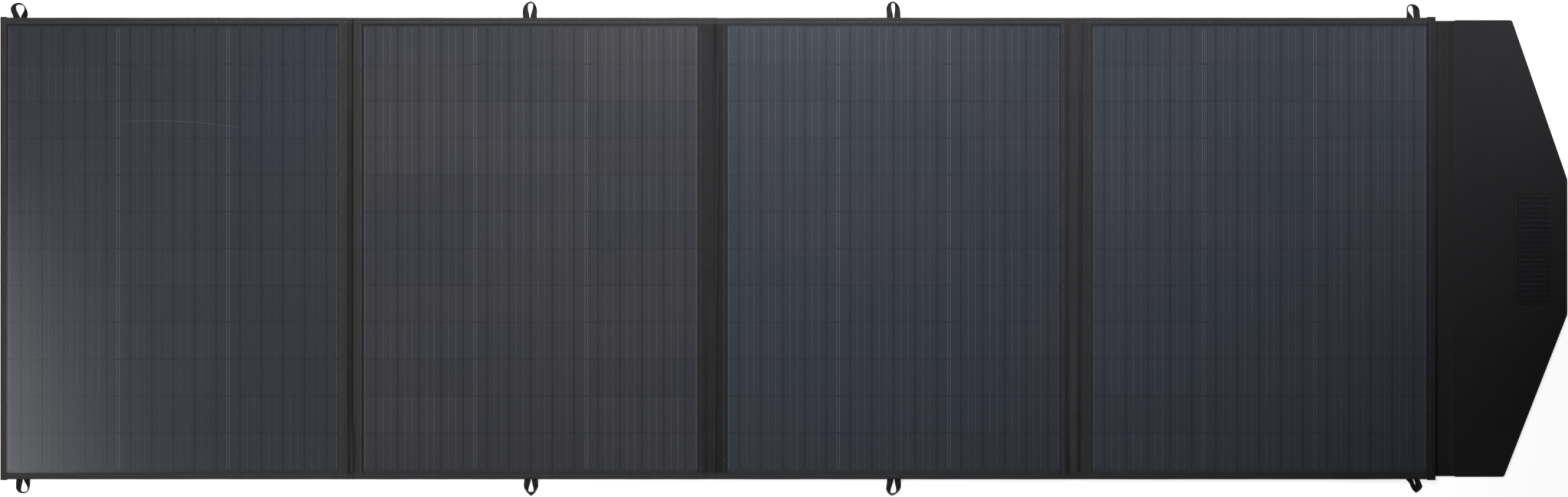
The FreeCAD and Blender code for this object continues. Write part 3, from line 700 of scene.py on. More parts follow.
def edge_tape(shape, threads, start, end, side, height_at, seed):
    """One run of tape along the top or bottom edge, whose inner lip isn't ruled straight."""

    def place(x, inward, share, extra):
        lip = 0.45 * drift(x / 46.0, side * 3.1, seed) + 0.2 * drift(x / 13.0, side * 5.3, seed)
        lip *= smooth((inward - 4.0) / 4.0)
        rim = 0.22 * drift(x / 60.0, side * 7.7, seed) * (1 - smooth(inward / 4.0))
        from_seam = abs(inward - STITCH_IN) / 4.5
        z = share * height_at(x) + extra
        if share == 1.0:
            z += 0.05 * drift(x / 21.0, side * 2.3, seed + 4)
            if extra > -0.3 and from_seam < 1:
                z += pucker(x) * (1 - from_seam)
        return (x, side * (TAPE_EDGE - inward + lip + rim - 0.1), z)

    tape_run(shape, threads, start, end, 1.2, place)


def panel_tapes(number):
    """The tape along the top and the bottom edge of one panel, and its stitches."""
    low, high = box_mm(f"edge_binding_{number}")
    tapes, threads = Shape(), Shape()
    for side in (-1, 1):
        edge_tape(tapes, threads, low[0], high[0], side, lambda x: TAPE_TOP, number * 2.0)
    piece = tapes.make(f"edge_tape_{number}", BINDING["warm" if number == 1 else "plain"])
    ready(piece, f"panel_{number}", "binding", f"edge_binding_{number}")
    return threads


thread_shapes = {number: panel_tapes(number) for number in PANELS}


def end_tape(end, number, inward_sign):
    """Tape over the left or right end, closed over the corners, and its stitches."""
    low, high = box_mm(f"{end}_binding")
    outer = low[0] if inward_sign > 0 else high[0]
    width = (high[0] - low[0]) / 9.3
    shape = Shape()

    def place(y, inward, share, extra):
        lip = 0.4 * drift(y / 50.0, number * 2.2, 3.0) * smooth((inward - 4.0) / 4.0)
        z = share * END_TAPE_TOP + extra
        if share == 1.0 and 4.5 < inward < 8.0:
            z += pucker(y)
        z += (END_TAPE_TOP / 2 - z) * 0.1 * smooth((abs(y) - 329.5) / 3.0)
        return (outer + inward_sign * (inward * width + lip), y, z)

    tape_run(shape, thread_shapes[number], low[1], high[1], 3, place)
    piece = shape.make(f"{end}_end_tape", BINDING["warm" if number == 1 else "cool"])
    ready(piece, f"panel_{number}", "binding", f"{end}_binding")


end_tape("left", 1, 1)
end_tape("right", 4, -1)


# Back covers -------------------------------------------------------------------------------

# The hole for the lead: its count of corners, and how far the eyelet's flange reaches past it.
ROUND_CORNERS = 40
FLANGE = 4.4


def with_square(places, centre, span=30.0):
    """Grid places with none within span of a centre except one each side; the first one's
    number comes with them."""
    kept = places[np.abs(places - centre) > span]
    kept = np.unique(np.concatenate([kept, [centre - span, centre + span]]))
    return kept, int(np.argmin(np.abs(kept - (centre - span))))


def holed_sheet(xs, ys, centre, radius, top, under):
    """A closed sheet with one round hole."""
    xs, column = with_square(xs, centre[0])
    ys, row = with_square(ys, centre[1])
    shape = sheet_shape(xs, ys, top, under)
    squares = (len(xs) - 1) * (len(ys) - 1)
    upper = column * (len(ys) - 1) + row
    lower = shape.faces.pop(squares + upper)
    corners = (shape.faces.pop(upper), lower[::-1])
    angles = -0.75 * math.pi + 2 * math.pi / ROUND_CORNERS * np.arange(ROUND_CORNERS)
    points, faces = [], []
    for level, z in enumerate((top, float(under(centre[0], centre[1])))):
        points += [(centre[0] + radius * math.cos(a), centre[1] + radius * math.sin(a), z)
                   for a in angles]
        square = [corner - shape.count for corner in corners[level]]
        quarter = ROUND_CORNERS // 4
        for side in range(4):
            arc = [level * ROUND_CORNERS + (side * quarter + n) % ROUND_CORNERS
                   for n in range(quarter + 1)]
            faces.append([square[side], square[(side + 1) % 4]] + arc[::-1])
    for a in range(ROUND_CORNERS):
        b = (a + 1) % ROUND_CORNERS
        faces.append([a, b, b + ROUND_CORNERS, a + ROUND_CORNERS])
    shape.add(points, faces, np.array(points)[:, :2])
    return shape


def back_cover(number):
    """The cloth on the back of one panel, laid over the foam; the last has a hole for a lead."""
    low, high = box_mm(f"back_cover_{number}")
    xs, ys = spaced(low[0], high[0], 12.0), spaced(low[1], high[1], 12.0)

    def under(x, y):
        wave = 0.5 + 0.5 * drift_of(x / 60.0, y / 60.0, number * 4.0)
        rim = smooth(inset(x, low[0], high[0]) / 40) * smooth((331 - np.abs(y)) / 40)
        return low[2] - 0.25 * wave * rim

    if number == 4:
        hole_low, hole_high = box_mm("cable_grommet")
        radius = (hole_high[0] - hole_low[0]) / 2 - FLANGE
        shape = holed_sheet(xs, ys, (hole_low + hole_high) / 2, radius, high[2], under)
    else:
        shape = sheet_shape(xs, ys, high[2], under)
    piece = shape.make(f"back_cover_cloth_{number}", CLOTH_BACK)
    ready(piece, f"panel_{number}", "back_cloth", f"back_cover_{number}")
    cut_sheet(piece, high[0] - low[0], high[1] - low[1], "stretched", f"foam_core_{number}")


for number in PANELS:
    back_cover(number)


# Fabric hinges -----------------------------------------------------------------------------

fold_x = {joint["name"]: joint["pos_m"][0] * 1000 for joint in frame["joints"]}

# Where each face strip starts and ends, and its two seams.
STRIP_ENDS = {1: (-639.8, -605.5), 2: (-122.7, -82.5), 3: (396.6, 441.7)}
STRIP_SEAMS = {1: (-636.1, -608.1), 2: (-119.4, -86.0), 3: (401.2, 438.7)}

# Where the face cloth sags into each gap: from, to, how deep, and how soft its two shoulders are.
VALLEYS = {
    1: (-629.6, -618.4, 3.3, 1.4, 0.9), 2: (-114.4, -95.6, 1.9, 7.0, 7.0),
    3: (404.0, 433.4, 1.9, 8.0, 8.0),
}

# Creases of each face strip: place at the middle of the strip's length, how it drifts over the
# length, depth, width, and the stretch of Y that it fades in and out of.
CREASES = {
    1: (
        (-621.8, 0.6, 3.0, 2.1, -330, -262), (-627.2, -0.6, -0.9, 1.1, -330, -150),
        (-617.2, 0.6, -1.5, 1.3, -330, -225), (-632.4, 1.0, 0.35, 1.8, -330, 330),
        (-618.4, 5.0, -0.8, 1.2, 180, 330), (-615.2, -0.6, 0.4, 1.0, -330, 330),
    ),
    2: (
        (-94.6, 3.3, -1.5, 1.3, -330, 330), (-97.2, 3.3, 0.3, 1.1, -60, 330),
        (-110.7, 1.0, -1.0, 1.4, -330, -120), (-104.5, -2.0, 0.35, 3.6, -330, 330),
        (-92.3, 3.3, 0.4, 0.9, -330, 330),
    ),
    3: (
        (406.6, 1.5, -1.1, 2.4, -330, 250), (416.6, 1.5, 0.4, 4.0, -330, 330),
        (425.4, 1.0, -1.3, 2.2, -330, 200), (430.0, 0.6, 0.2, 1.1, -330, 330),
        (409.0, -1.0, -1.3, 1.0, -330, -235), (413.0, -7.0, -0.8, 2.0, 150, 330),
        (422.0, 6.0, -0.7, 1.8, 190, 330), (409.0, 2.0, 0.3, 2.2, 90, 300),
    ),
}


def hinge(number):
    """The cloth, tape and stitches that cross from one panel to the next."""
    near, far = fold_x[f"fold_{number}"], fold_x[f"fold_{number}_far"]
    middle = (near + far) / 2
    left = box_mm(f"laminate_board_{number}")[1][0]
    right = box_mm(f"laminate_board_{number + 1}")[0][0]
    low, high = box_mm(f"hinge_front_strip_{number}")
    low[0], high[0] = STRIP_ENDS[number]
    back_low, back_high = box_mm(f"hinge_back_strip_{number}")
    tape_low, tape_high = box_mm(f"hinge_binding_{number}")
    dip_start, dip_end, depth, soft_start, soft_end = VALLEYS[number]

    def crumple(x, y):
        total = 0.16 * drift_of(x / 9.0, y / 46.0, number * 3.0)
        total = total + 0.3 * drift_of(x / 14.0 + y / 240.0, y / 130.0, number * 5.0)
        for centre, sway, height, width, start, end in CREASES[number]:
            place = centre + sway * y / HALF_LENGTH + 0.7 * drift_of(y / 55.0, centre, 1.0)
            fade = 1.0
            if start > -HALF_LENGTH:
                fade = fade * smooth((y - start) / 60.0)
            if end < HALF_LENGTH:
                fade = fade * smooth((end - y) / 60.0)
            total = total + height * hump(x - place, width) * fade
        return total

    def inside(x):
        """1 over the gap, 0 on the panels."""
        return smooth((x - left - 0.3) / 3.4) * smooth((right - 0.3 - x) / 3.4)

    def sag(x):
        return smooth((x - dip_start) / soft_start) * smooth((dip_end - x) / soft_end)

    def face(x, y):
        z = high[2] - 0.05 - depth * sag(x)
        for seam in STRIP_SEAMS[number]:
            z = z - 0.16 * hump(x - seam, 0.7) + 0.07 * hump(np.abs(x - seam) - 1.7, 0.8)
        loose = 0.18 + 0.82 * inside(x)
        hem = 1 - smooth(inset(x, low[0], high[0]) / 1.1)
        tuck = smooth((np.abs(y) - 320.6) / 2.6)
        return z + crumple(x, y) * loose * (1 - 0.8 * tuck) - 0.1 * hem - 0.5 * tuck

    def under_face(x, y):
        return np.maximum(face(x, y) - 0.42, np.where(inside(x) < 0.02, 4.9, 1.2))

    def back_top(x, y):
        return back_high[2] - 0.02 + 0.3 * inside(x) * (0.4 + drift_of(x / 7.0, y / 60.0, 2.0 + number))

    def back_under(x, y):
        slack = 0.12 + 0.12 * drift_of(x / 9.0, y / 40.0, 7.0 + number)
        slack = slack - 0.08 * hump(inset(x, back_low[0], back_high[0]) - 3.0, 0.7)
        return back_low[2] - 0.06 + slack * inside(x)

    def tape_height(x):
        return TAPE_TOP - 0.85 * depth * float(sag(np.array(x)))

    ends = np.array([321.2, 323.4, 326.5])
    ys = np.concatenate([-ends[::-1], spaced(-319.0, 319.0, 4.6), ends])
    back_ys = spaced(back_low[1], back_high[1], 6.0)
    # No stitches are made on the tape over the gap. Working them out, and leaving them in a
    # shape of their own, keeps the random draws of the later stitches as they are.
    left_out = Shape()
    for half, bodies, crease in (
        ("a", (f"panel_{number + 1}", f"hinge_{number}"), near),
        ("b", (f"hinge_{number}", f"panel_{number}"), far),
    ):
        reach = (crease + 3.0, crease - 3.0)

        def run(low_end, high_end):
            return (middle, high_end[0]) if half == "a" else (low_end[0], middle)

        xs = spaced(*run(low, high), 0.85)
        strip = sheet_shape(xs, ys, face, under_face)
        piece = strip.make(f"hinge_face_cloth_{number}{half}", HINGE_CLOTH[number])
        crossing(piece, bodies, reach, f"hinge_front_strip_{number}")
        section = surface(xs, ys[:1], face)[:, 0]
        width = float(np.linalg.norm(np.diff(section, axis=0), axis=1).sum())
        cut_sheet(piece, width, high[1] - low[1], "stretched", f"film_{number}", f"film_{number + 1}")

        start, end = run(back_low, back_high)
        back = sheet_shape(spaced(start, end, 1.2), back_ys, back_top, back_under)
        piece = back.make(f"hinge_back_cloth_{number}{half}", HINGE_BACK)
        crossing(piece, bodies, reach, f"hinge_back_strip_{number}")
        cut_sheet(piece, end - start, back_high[1] - back_low[1], "stretched",
                  f"back_cover_cloth_{number}")

        tape = Shape()
        for side in (-1, 1):
            edge_tape(tape, left_out, *run(tape_low, tape_high), side, tape_height, 30.0 + number)
        piece = tape.make(f"hinge_tape_{number}{half}", BINDING["plain"])
        crossing(piece, bodies, reach, f"hinge_binding_{number}")

    for panel, seam in zip((number, number + 1), STRIP_SEAMS[number]):
        line = [(seam, y, float(face(np.array(seam), np.array(y)))) for y in ys[1:-1]]
        thread_shapes[panel].seam(line)
    for panel, seam in ((number, back_low[0] + 3.0), (number + 1, back_high[0] - 3.0)):
        thread_shapes[panel].back_seam([(seam, y, 0.16) for y in back_ys[1:-1]], 0.3)


for number in HINGES:
    hinge(number)


# Webbing loops -----------------------------------------------------------------------------

# Each loop: panel, side, the widest place of its left and right leg (out, up), the place of its
# bow (along, out) and how deep the tape is there, the widest place of the opening to left and
# right (out, up), and how pointed the bow is.
LOOPS = (
    (1, 1, (13.4, 12.9), (10.8, 4.2), (-1.6, 21.7, 2.2), (6.4, 15.4), (5.6, 13.4), 1.0),
    (1, -1, (10.6, 9.0), (10.0, 6.0), (1.2, 20.4, 1.4), (3.2, 16.0), (6.0, 13.5), 0.9),
    (2, 1, (10.6, 8.0), (10.3, 8.0), (1.6, 23.5, 1.8), (3.0, 17.0), (4.3, 18.5), 1.0),
    (2, -1, (10.6, 10.0), (10.3, 10.0), (0.2, 24.0, 5.2), (3.9, 17.0), (3.3, 17.0), 1.5),
    (3, 1, (10.6, 12.0), (9.7, 7.0), (-1.9, 23.5, 1.4), (3.5, 18.0), (1.7, 18.0), 1.0),
    (3, -1, (11.2, 14.5), (10.3, 10.0), (-3.1, 23.6, 3.0), (4.9, 18.5), (3.1, 17.0), 1.3),
    (4, 1, (9.9, 12.5), (9.4, 8.0), (-3.6, 19.8, 1.6), (7.6, 12.5), (-0.4, 9.0), 0.95),
    (4, -1, (4.6, 8.0), (13.6, 11.5), (4.6, 20.0, 11.5), (-1.5, 5.0), (2.9, 5.0), 1.5),
)
WEBBING_WIDTH, WEBBING_THICK, LOOP_EDGE, TAIL = 9.3, 0.95, 330.6, 10.0

# The webbing's section, in shares of its width and thickness: two rounded edges.
WEBBING_SECTION = np.array([
    (-0.5, -0.3), (-0.46, -0.48), (-0.2, -0.5), (0.2, -0.5), (0.46, -0.48), (0.5, -0.3),
    (0.5, 0.3), (0.46, 0.48), (0.2, 0.5), (-0.2, 0.5), (-0.46, 0.48), (-0.5, 0.3),
])


def bow_side(start, widest, bow, power):
    """Points from the seam, past the widest place, round to the bow, in one smooth line."""
    points = []
    for t in np.linspace(0, 1, 11):
        points.append((start + (widest[0] - start) * smooth(t), widest[1] * t))
    for t in np.linspace(0, 1, 15)[1:]:
        angle = math.pi / 2 * t
        points.append((bow[0] + (widest[0] - bow[0]) * max(math.cos(angle), 0.0) ** power,
                       widest[1] + (bow[1] - widest[1]) * math.sin(angle) ** power))
    return np.array(points)


def loop_line(start, left, right, bow, power):
    """The line up the left leg, round the bow and down the right leg, with its sewn-in tails."""
    up = bow_side(-start, (-left[0], left[1]), bow, power)
    down = bow_side(start, right, bow, power)[-2::-1]
    return np.vstack([[(-start, -TAIL)], up, down, [(start, -TAIL)]])


def loop(shape, centre, side, left, right, bow, open_left, open_right, power):
    """One loop of webbing: flat in its seam, and turning up on its edge around the bow."""
    outer = loop_line(9.9, left, right, bow[:2], power)
    inner = loop_line(0.6, open_left, open_right, (bow[0], bow[1] - bow[2]), min(power, 0.8))
    flat = outer - inner
    span = np.linalg.norm(flat, axis=1)
    rise = 0.78 * np.sqrt(np.maximum(WEBBING_WIDTH ** 2 - span ** 2, 0.0))
    share = np.clip(np.minimum(outer[:, 1], bow[1]) / bow[1], 0, 1)
    low = 1.6 - 0.95 * smooth(share * 1.25)
    middle = np.column_stack([(outer + inner) / 2, low + rise / 2])
    across = np.column_stack([flat, rise])
    through = np.cross(across, np.gradient(middle, axis=0))
    through /= np.linalg.norm(through, axis=1)[:, None]
    through *= np.where(through[:, 2:] < 0, -1, 1) * WEBBING_THICK
    wide, thick = WEBBING_SECTION[:, :1], WEBBING_SECTION[:, 1:]
    rings = middle[:, None] + across[:, None] * wide + through[:, None] * thick
    rings[..., 0] = centre + rings[..., 0]
    rings[..., 1] = side * (LOOP_EDGE + rings[..., 1])
    rings[..., 2] = np.maximum(rings[..., 2], 0.06)
    shape.sweep(rings)


openings = {o["name"]: o["box_m"] for o in frame["record"]["physics"]["openings"]}
for number in PANELS:
    shape = Shape()
    for panel, side, *form in LOOPS:
        if panel == number:
            box = openings[f"loop_{number}_{'top' if side > 0 else 'bottom'}"]
            loop(shape, (box[0][0] + box[1][0]) / 2 * 1000, side, *form)
    piece = shape.make(f"webbing_pair_{number}", WEBBING_DARK if number == 1 else WEBBING)
    ready(piece, f"panel_{number}", "webbing", f"webbing_loops_{number}")


# Flap --------------------------------------------------------------------------------------

# The flap's outline from its fold: X, Y and the corner's radius.
FLAP_LEFT = float(box_mm("flap_front_cover")[0][0])
FLAP_CORNERS = (
    (FLAP_LEFT, -328.0, 0.0), (1034.0, -328.0, 4.5), (1125.0, -95.0, 14.0), (1125.0, 99.0, 14.0),
    (1045.5, 328.0, 4.5), (FLAP_LEFT, 328.0, 0.0),
)

# The size that its covers are cut to, and the outline's area in square metres: a rectangle less
# two slanted corners.
FLAP_CUT = (163.5, 658.0)
FLAP_AREA = (161.5 * 656.0 - 0.5 * (79.5 * 229.0 + 91.0 * 233.0)) * 1e-6

# Each cover's rings from edge to middle: how far in from the outline, and the height.
FLAP_FACE = (
    (5.0, 1.72), (0.9, 1.72), (0.5, 0.62), (0.12, 0.66), (0.0, 1.1), (0.1, 1.7), (0.5, 2.12),
    (1.2, 2.26), (2.2, 2.28), (2.75, 2.2), (3.1, 2.02), (3.45, 2.2), (4.2, 2.26), (6.5, 2.22),
    (16.0, 2.2), (40.0, 2.2),
)
FLAP_BACK = (
    (40.0, 0.5), (5.0, 0.5), (0.6, 0.55), (0.15, 0.5), (0.05, 0.3), (0.3, 0.08), (1.0, 0.02),
    (2.6, 0.04), (3.1, 0.22), (3.6, 0.04), (8.0, 0.02), (20.0, 0.05), (40.0, 0.06),
)


def cross(a, b):
    """The cross product of two directions held as complex numbers."""
    return (a.conjugate() * b).imag


def flap_ring(gap):
    """The outline drawn in by a gap, except at the fold, with its corners rounded."""
    corners = [complex(x, y) for x, y, _ in FLAP_CORNERS]
    ways = [(b - a) / abs(b - a) for a, b in zip(corners, corners[1:] + corners[:1])]
    gaps = [gap] * (len(corners) - 1) + [0.0]
    starts = [corner + way * 1j * shift for corner, way, shift in zip(corners, ways, gaps)]
    ring = []
    for i, (_, _, radius) in enumerate(FLAP_CORNERS):
        way_in, way_out = ways[i - 1], ways[i]
        run = cross(starts[i] - starts[i - 1], way_out) / cross(way_in, way_out)
        corner = starts[i - 1] + way_in * run
        if radius == 0.0:
            ring.append(corner)
            continue
        radius = max(radius - gap, 0.4)
        half_turn = math.acos((way_out / way_in).real) / 2
        centre = corner + way_in * (1j * radius - radius * math.tan(half_turn))
        for n in range(9):
            turn = 2 * half_turn * n / 8
            ring.append(centre - way_in * 1j * radius * complex(math.cos(turn), math.sin(turn)))
    return np.array([(point.real, point.imag) for point in ring])


def with_next(ring):
    """Each point of a closed ring, with the point after it."""
    return zip(ring, np.roll(ring, -1, 0))


def flap_cover(name, node, levels, seed):
    """One cover of the flap, over rings that are filled to equal counts of points."""
    counts = [max(1, int(round(np.linalg.norm(b - a) / 7.0))) for a, b in with_next(flap_ring(0.0))]
    rings = []
    for gap, z in levels:
        full = np.array([a + (b - a) * n / parts for (a, b), parts in
                         zip(with_next(flap_ring(gap)), counts) for n in range(parts)])
        wave = 0.14 * drift_of(full[:, 0] / 34.0, full[:, 1] / 34.0, seed)
        rings.append(np.column_stack([full, z + wave * (1 if gap > 2 else 0.3)]))
    shape = Shape()
    shape.sweep(np.array(rings), flat=True)
    piece = ready(shape.make(name, CLOTH_FLAP), "flap", "flap_cloth", node)
    cut_sheet(piece, *FLAP_CUT, "stretched", "flap_board", area=FLAP_AREA)


flap_cover("flap_face_cloth", "flap_front_cover", FLAP_FACE, 9.0)
flap_cover("flap_back_cloth", "flap_back_cover", FLAP_BACK, 7.0)

flap_threads, hook_threads, hook_end_threads = Shape(), Shape(), Shape()
sewn = flap_ring(3.1)[1:-1]
first, last = ((FLAP_LEFT + 1.0, point[1]) for point in (sewn[0], sewn[-1]))
sewn = np.vstack([first, sewn, last])
flap_threads.seam(np.column_stack([sewn, np.full(len(sewn), 2.06)]), thick=0.42)
flap_threads.back_seam(np.column_stack([sewn, np.full(len(sewn), 0.2)]), 0.34)


def gusset():
    """The plain cloth that the flap folds on."""
    low, high = box_mm("flap_gusset")
    near, far = fold_x["flap_fold"], fold_x["flap_fold_far"]
    middle = (near + far) / 2
    ys = spaced(low[1], high[1], 6.0)

    def top(x, y):
        fold = 0.16 * hump(x - middle, 1.6)
        near_panel = 0.9 * smooth((low[0] + 2.4 - x) / 2.4)
        soft = 0.22 * drift_of(x / 12.0, y / 70.0, 5.0)
        rise = 1.12 * smooth((x - far + 9.0) / 9.5) - 0.32 * smooth((x - far - 2.2) / 3.4)
        calm = smooth((x - low[0]) / 4) * smooth((far + 1.0 - x) / 8)
        return high[2] + 0.1 + fold + near_panel + soft * calm + rise

    for half, start, end, bodies, reach in (
        ("a", low[0], middle, ("panel_4", "flap_hinge"), (near - 2.0, near + 4.0)),
        ("b", middle, high[0], ("flap_hinge", "flap"), (far - 4.0, far + 2.0)),
    ):
        shape = sheet_shape(spaced(start, end, 0.8), ys, top, lambda x, y: top(x, y) - 0.5)
        piece = shape.make(f"gusset_cloth_{half}", CLOTH_GUSSET)
        crossing(piece, bodies, reach, "flap_gusset")
        cut_sheet(piece, end - start, high[1] - low[1], "stretched", "right_end_tape",
                  "flap_face_cloth")


gusset()


# Hook strip, pile patch and pocket ---------------------------------------------------------


def hook_strip():
    """Hook tape: ribs of hooks across it, and a flat sewn border."""
    low, high = box_mm("hook_strip")
    border = np.array([2.6, 3.4])
    xs = np.unique(np.concatenate([spaced(low[0], high[0], 1.6), low[0] + border, high[0] - border]))
    ys = spaced(low[1], high[1], 0.78)

    def top(x, y):
        from_side = inset(x, low[0], high[0])
        inner = smooth((from_side - 3.4) / 1.2) * smooth((inset(y, low[1], high[1]) - 2.2) / 1.2)
        rib = 0.5 + 0.5 * np.cos(2 * math.pi * (y - low[1]) / 7.0)
        tufts = 0.22 * drift_of(x / 1.3, y / 1.3, 3.0)
        rough = 0.12 * drift_of(x / 9.0, y / 9.0, 6.0)
        lip = 0.15 * smooth(1.2 - from_side)
        return low[2] + 0.38 + inner * (0.2 + 0.34 * rib + tufts) + rough + lip

    piece = sheet_shape(xs, ys, top, low[2]).make("hook_tape_strip", hook_paint())
    ready(piece, "flap", "hook", "hook_strip")
    for x in (low[0] + 1.9, high[0] - 1.9):
        line = [(x, y, low[2] + 0.42) for y in spaced(low[1] + 1.5, high[1] - 1.5, 4.0)]
        hook_threads.seam(line, pitch=2.3, length=1.6, thick=0.36)
    line = [(x, low[1] + 1.3, low[2] + 0.42) for x in spaced(low[0] + 2.6, high[0] - 2.6, 4.0)]
    hook_threads.seam(line, pitch=2.6, length=2.0, thick=0.34)
    line = [(x, high[1] - 0.6, low[2] + 0.3) for x in spaced(low[0] + 3.0, high[0] - 2.0, 4.0)]
    hook_end_threads.seam(line, pitch=2.1, length=2.8, thick=1.1, turn=0.4)


def pile_patch():
    """The patch of loop pile that the hook strip closes on."""
    low, high = box_mm("loop_patch")
    xs, ys = spaced(low[0], high[0], 1.1), spaced(low[1], high[1], 1.1)

    def under(x, y):
        inner = smooth((inset(x, low[0], high[0]) - 2.4) / 1.2)
        inner = inner * smooth((inset(y, low[1], high[1]) - 2.4) / 1.2)
        tufts = 0.5 + 0.5 * drift_of(x / 1.1, y / 1.1, 3.0)
        return low[2] + 0.26 - inner * 0.22 * tufts

    piece = sheet_shape(xs, ys, high[2], under).make("pile_patch", pile_paint())
    ready(piece, "panel_3", "pile", "loop_patch")
    (left, bottom), (right, top) = low[:2] + 1.3, high[:2] - 1.3
    ring = [(left, bottom), (right, bottom), (right, top), (left, top)]
    for a, b in zip(ring, ring[1:] + ring[:1]):
        thread_shapes[3].back_seam([(*a, 0.28), (*b, 0.28)], 0.4)


def pocket():
    """The flat pocket on the back of the last panel, with a hemmed mouth."""
    low, high = box_mm("rear_pocket")
    rim, mouth_rim = np.array([1, 2, 3, 4]), np.array([1, 7, 8, 9])
    xs = np.unique(np.concatenate([spaced(low[0], high[0], 5.0), low[0] + rim, high[0] - mouth_rim]))
    ys = np.unique(np.concatenate([spaced(low[1], high[1], 5.0), low[1] + rim, high[1] - rim]))

    def under(x, y):
        edge = np.minimum(inset(x, low[0], high[0]), inset(y, low[1], high[1]))
        groove = 0.14 * hump(np.minimum(x - low[0], inset(y, low[1], high[1])) - 3.0, 0.8)
        mouth = 0.14 * hump(high[0] - x - 8.0, 0.9)
        wave = 0.1 * (0.5 + 0.5 * drift_of(x / 40.0, y / 40.0, 2.0))
        hem = 0.12 * (1 - smooth(edge))
        return low[2] + 0.04 + groove + mouth + wave * smooth(edge / 12) + hem

    piece = sheet_shape(xs, ys, high[2], under).make("back_pocket_cloth", CLOTH_BACK)
    ready(piece, "panel_4", "back_cloth", "rear_pocket")
    cut_sheet(piece, high[0] - low[0], high[1] - low[1], "laid", "back_cover_cloth_4")
    corners = [(high[0] - 2, low[1] + 3), (low[0] + 3, low[1] + 3), (low[0] + 3, high[1] - 3),
               (high[0] - 2, high[1] - 3)]
    for a, b in zip(corners, corners[1:]):
        thread_shapes[4].back_seam([(*a, 0.2), (*b, 0.2)])
    mouth_x = high[0] - 8.0
    thread_shapes[4].back_seam([(mouth_x, low[1] + 4, 0.2), (mouth_x, high[1] - 4, 0.2)])


hook_strip()
pile_patch()
pocket()


def stitching(shape, name, material, body, slot):
    """One piece of all the stitches of a kind."""
    ready(shape.make(name, material, sharp=180.0), body, slot)


for number, shape in thread_shapes.items():
    stitching(shape, f"stitching_{number}", THREAD, f"panel_{number}", "binding")
stitching(flap_threads, "flap_stitching", FLAP_THREAD, "flap", "flap_cloth")
stitching(hook_threads, "hook_stitching", THREAD, "flap", "flap_cloth")
stitching(hook_end_threads, "hook_end_stitching", HOOK_END_THREAD, "flap", "flap_cloth")


# CAD nodes that stay -----------------------------------------------------------------------

# The material of each node, by how its name starts.
KEPT = {
    "solar_cells_": plain_paint("silicon_cell", (28, 32, 46), (40, 46, 64), 0.32, 9.0, lines=2.1),
    "busbar_ribbons_": plain_paint("tinned_ribbon", (150, 150, 152), (196, 196, 198), 0.34, 2.0,
                                   metallic=1.0),
    "laminate_board_": plain_paint("laminate_sheet", (40, 44, 40), (66, 70, 62), 0.5, 3.0,
                                   lines=1.2),
    "foam_core_": plain_paint("foam_sheet", (54, 54, 56), (92, 92, 94), 0.95, 0.9, relief=0.2),
    "terminal_board_": plain_paint("bus_board", (20, 52, 34), (34, 76, 50), 0.4, 6.0, lines=6.0),
    "interconnect_": plain_paint("flat_cable", (24, 24, 26), (52, 50, 48), 0.45, 8.0, lines=4.0),
    "flap_board": plain_paint("flap_board_sheet", (60, 60, 62), (84, 84, 86), 0.6, 4.0),
    "cable_grommet": plain_paint("eyelet_metal", (120, 122, 126), (176, 178, 182), 0.36, 1.5,
                                 metallic=1.0),
}
for name, node in frame["nodes"].items():
    for start, material in KEPT.items():
        if name.startswith(start):
            node.data.materials.clear()
            node.data.materials.append(material)


# Stage, light and camera, in metres --------------------------------------------------------

scene = bpy.context.scene

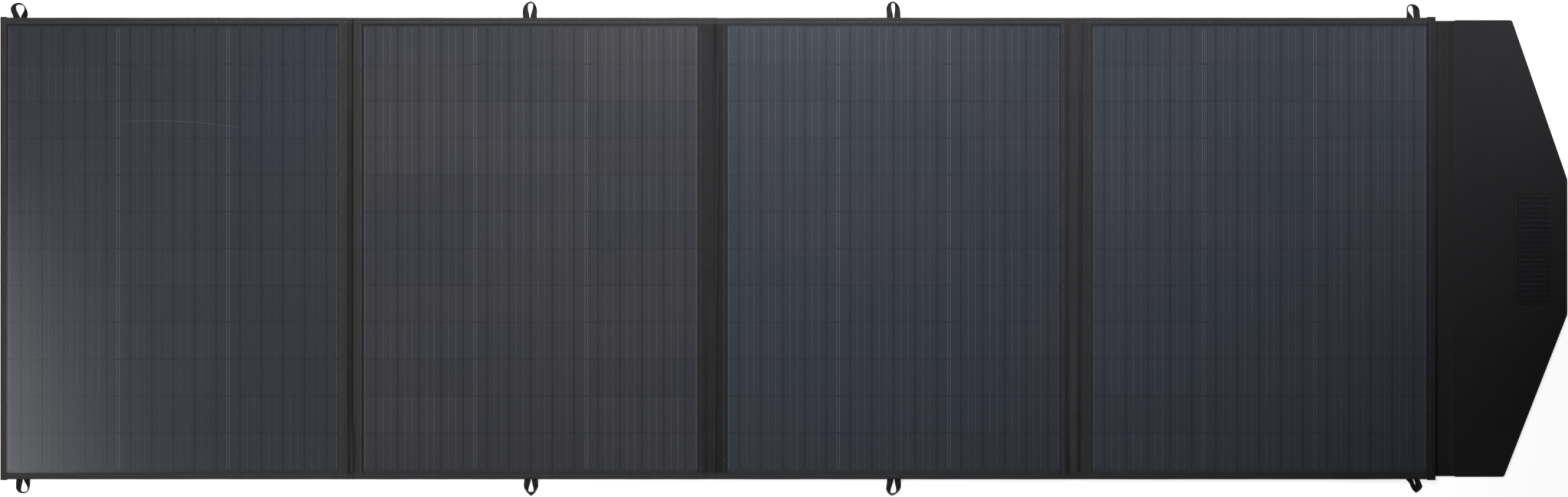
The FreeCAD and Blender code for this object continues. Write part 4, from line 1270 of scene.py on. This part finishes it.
FLOOR_REACH, FLOOR_Z = 60.0, -0.0004
floor_mesh = bpy.data.meshes.new("studio_floor")
floor_corners = [(x * FLOOR_REACH, y * FLOOR_REACH, FLOOR_Z)
                 for x, y in ((-1, -1), (1, -1), (1, 1), (-1, 1))]
floor_mesh.from_pydata(floor_corners, [], [[0, 1, 2, 3]])
floor = bpy.data.objects.new("studio_floor", floor_mesh)
scene.collection.objects.link(floor)
paint = Paint("studio_floor_paint", 0.9)
grain = paint.places("Object")[0].grain(400.0)
paint.sockets["Emission Color"].default_value = (1.0, 1.0, 1.0, 1.0)
paint.sockets["Emission Strength"].default_value = 0.75
floor_mesh.materials.append(paint.finish(grain.mix(tone(238, 238, 238), tone(244, 244, 244))))

world = bpy.data.worlds.new("studio")
scene.world = world
world.use_nodes = True
background = world.node_tree.nodes["Background"]
background.inputs["Color"].default_value = (1.0, 1.0, 1.0, 1.0)
background.inputs["Strength"].default_value = 0.1065


def softbox(name, place, aim, width, depth, power):
    """A large soft light that the camera doesn't see."""
    light = bpy.data.lights.new(name, "AREA")
    light.shape = "RECTANGLE"
    light.size, light.size_y = width, depth
    light.energy = power
    lamp = bpy.data.objects.new(name, light)
    lamp.location = place
    lamp.rotation_euler = (Vector(aim) - Vector(place)).to_track_quat("-Z", "Y").to_euler()
    lamp.visible_camera = False
    scene.collection.objects.link(lamp)


softbox("softbox_top", (0.091, 0.865, 1.085), (-1.134, 0.339, 0.0), 0.42, 0.74, 23.7)
softbox("softbox_left", (-1.726, -0.471, 1.575), (-1.223, -0.346, 0.0), 0.9, 0.9, 15.2)
softbox("softbox_right", (1.439, 0.473, 0.756), (-0.274, 2.287, 0.0), 0.33, 0.37, 13.7)

# The camera looks straight down, and its view is as wide as VIEW_WIDTH at FOCUS_Z.
CAMERA_Z, FOCUS_Z, VIEW_WIDTH, SENSOR = 8.0, 0.001, 2.2518, 36.0
camera_data = bpy.data.cameras.new("camera")
camera = bpy.data.objects.new("camera", camera_data)
scene.collection.objects.link(camera)
scene.camera = camera
camera.location = ((cad_low.x + cad_high.x) / 2, 0.0, CAMERA_Z)
camera.rotation_euler = (0.0, 0.0, 0.0)
camera_data.sensor_width = SENSOR
camera_data.lens = SENSOR * (CAMERA_Z - FOCUS_Z) / VIEW_WIDTH
camera_data.clip_end = 200.0
scene.view_settings.view_transform = "Standard"
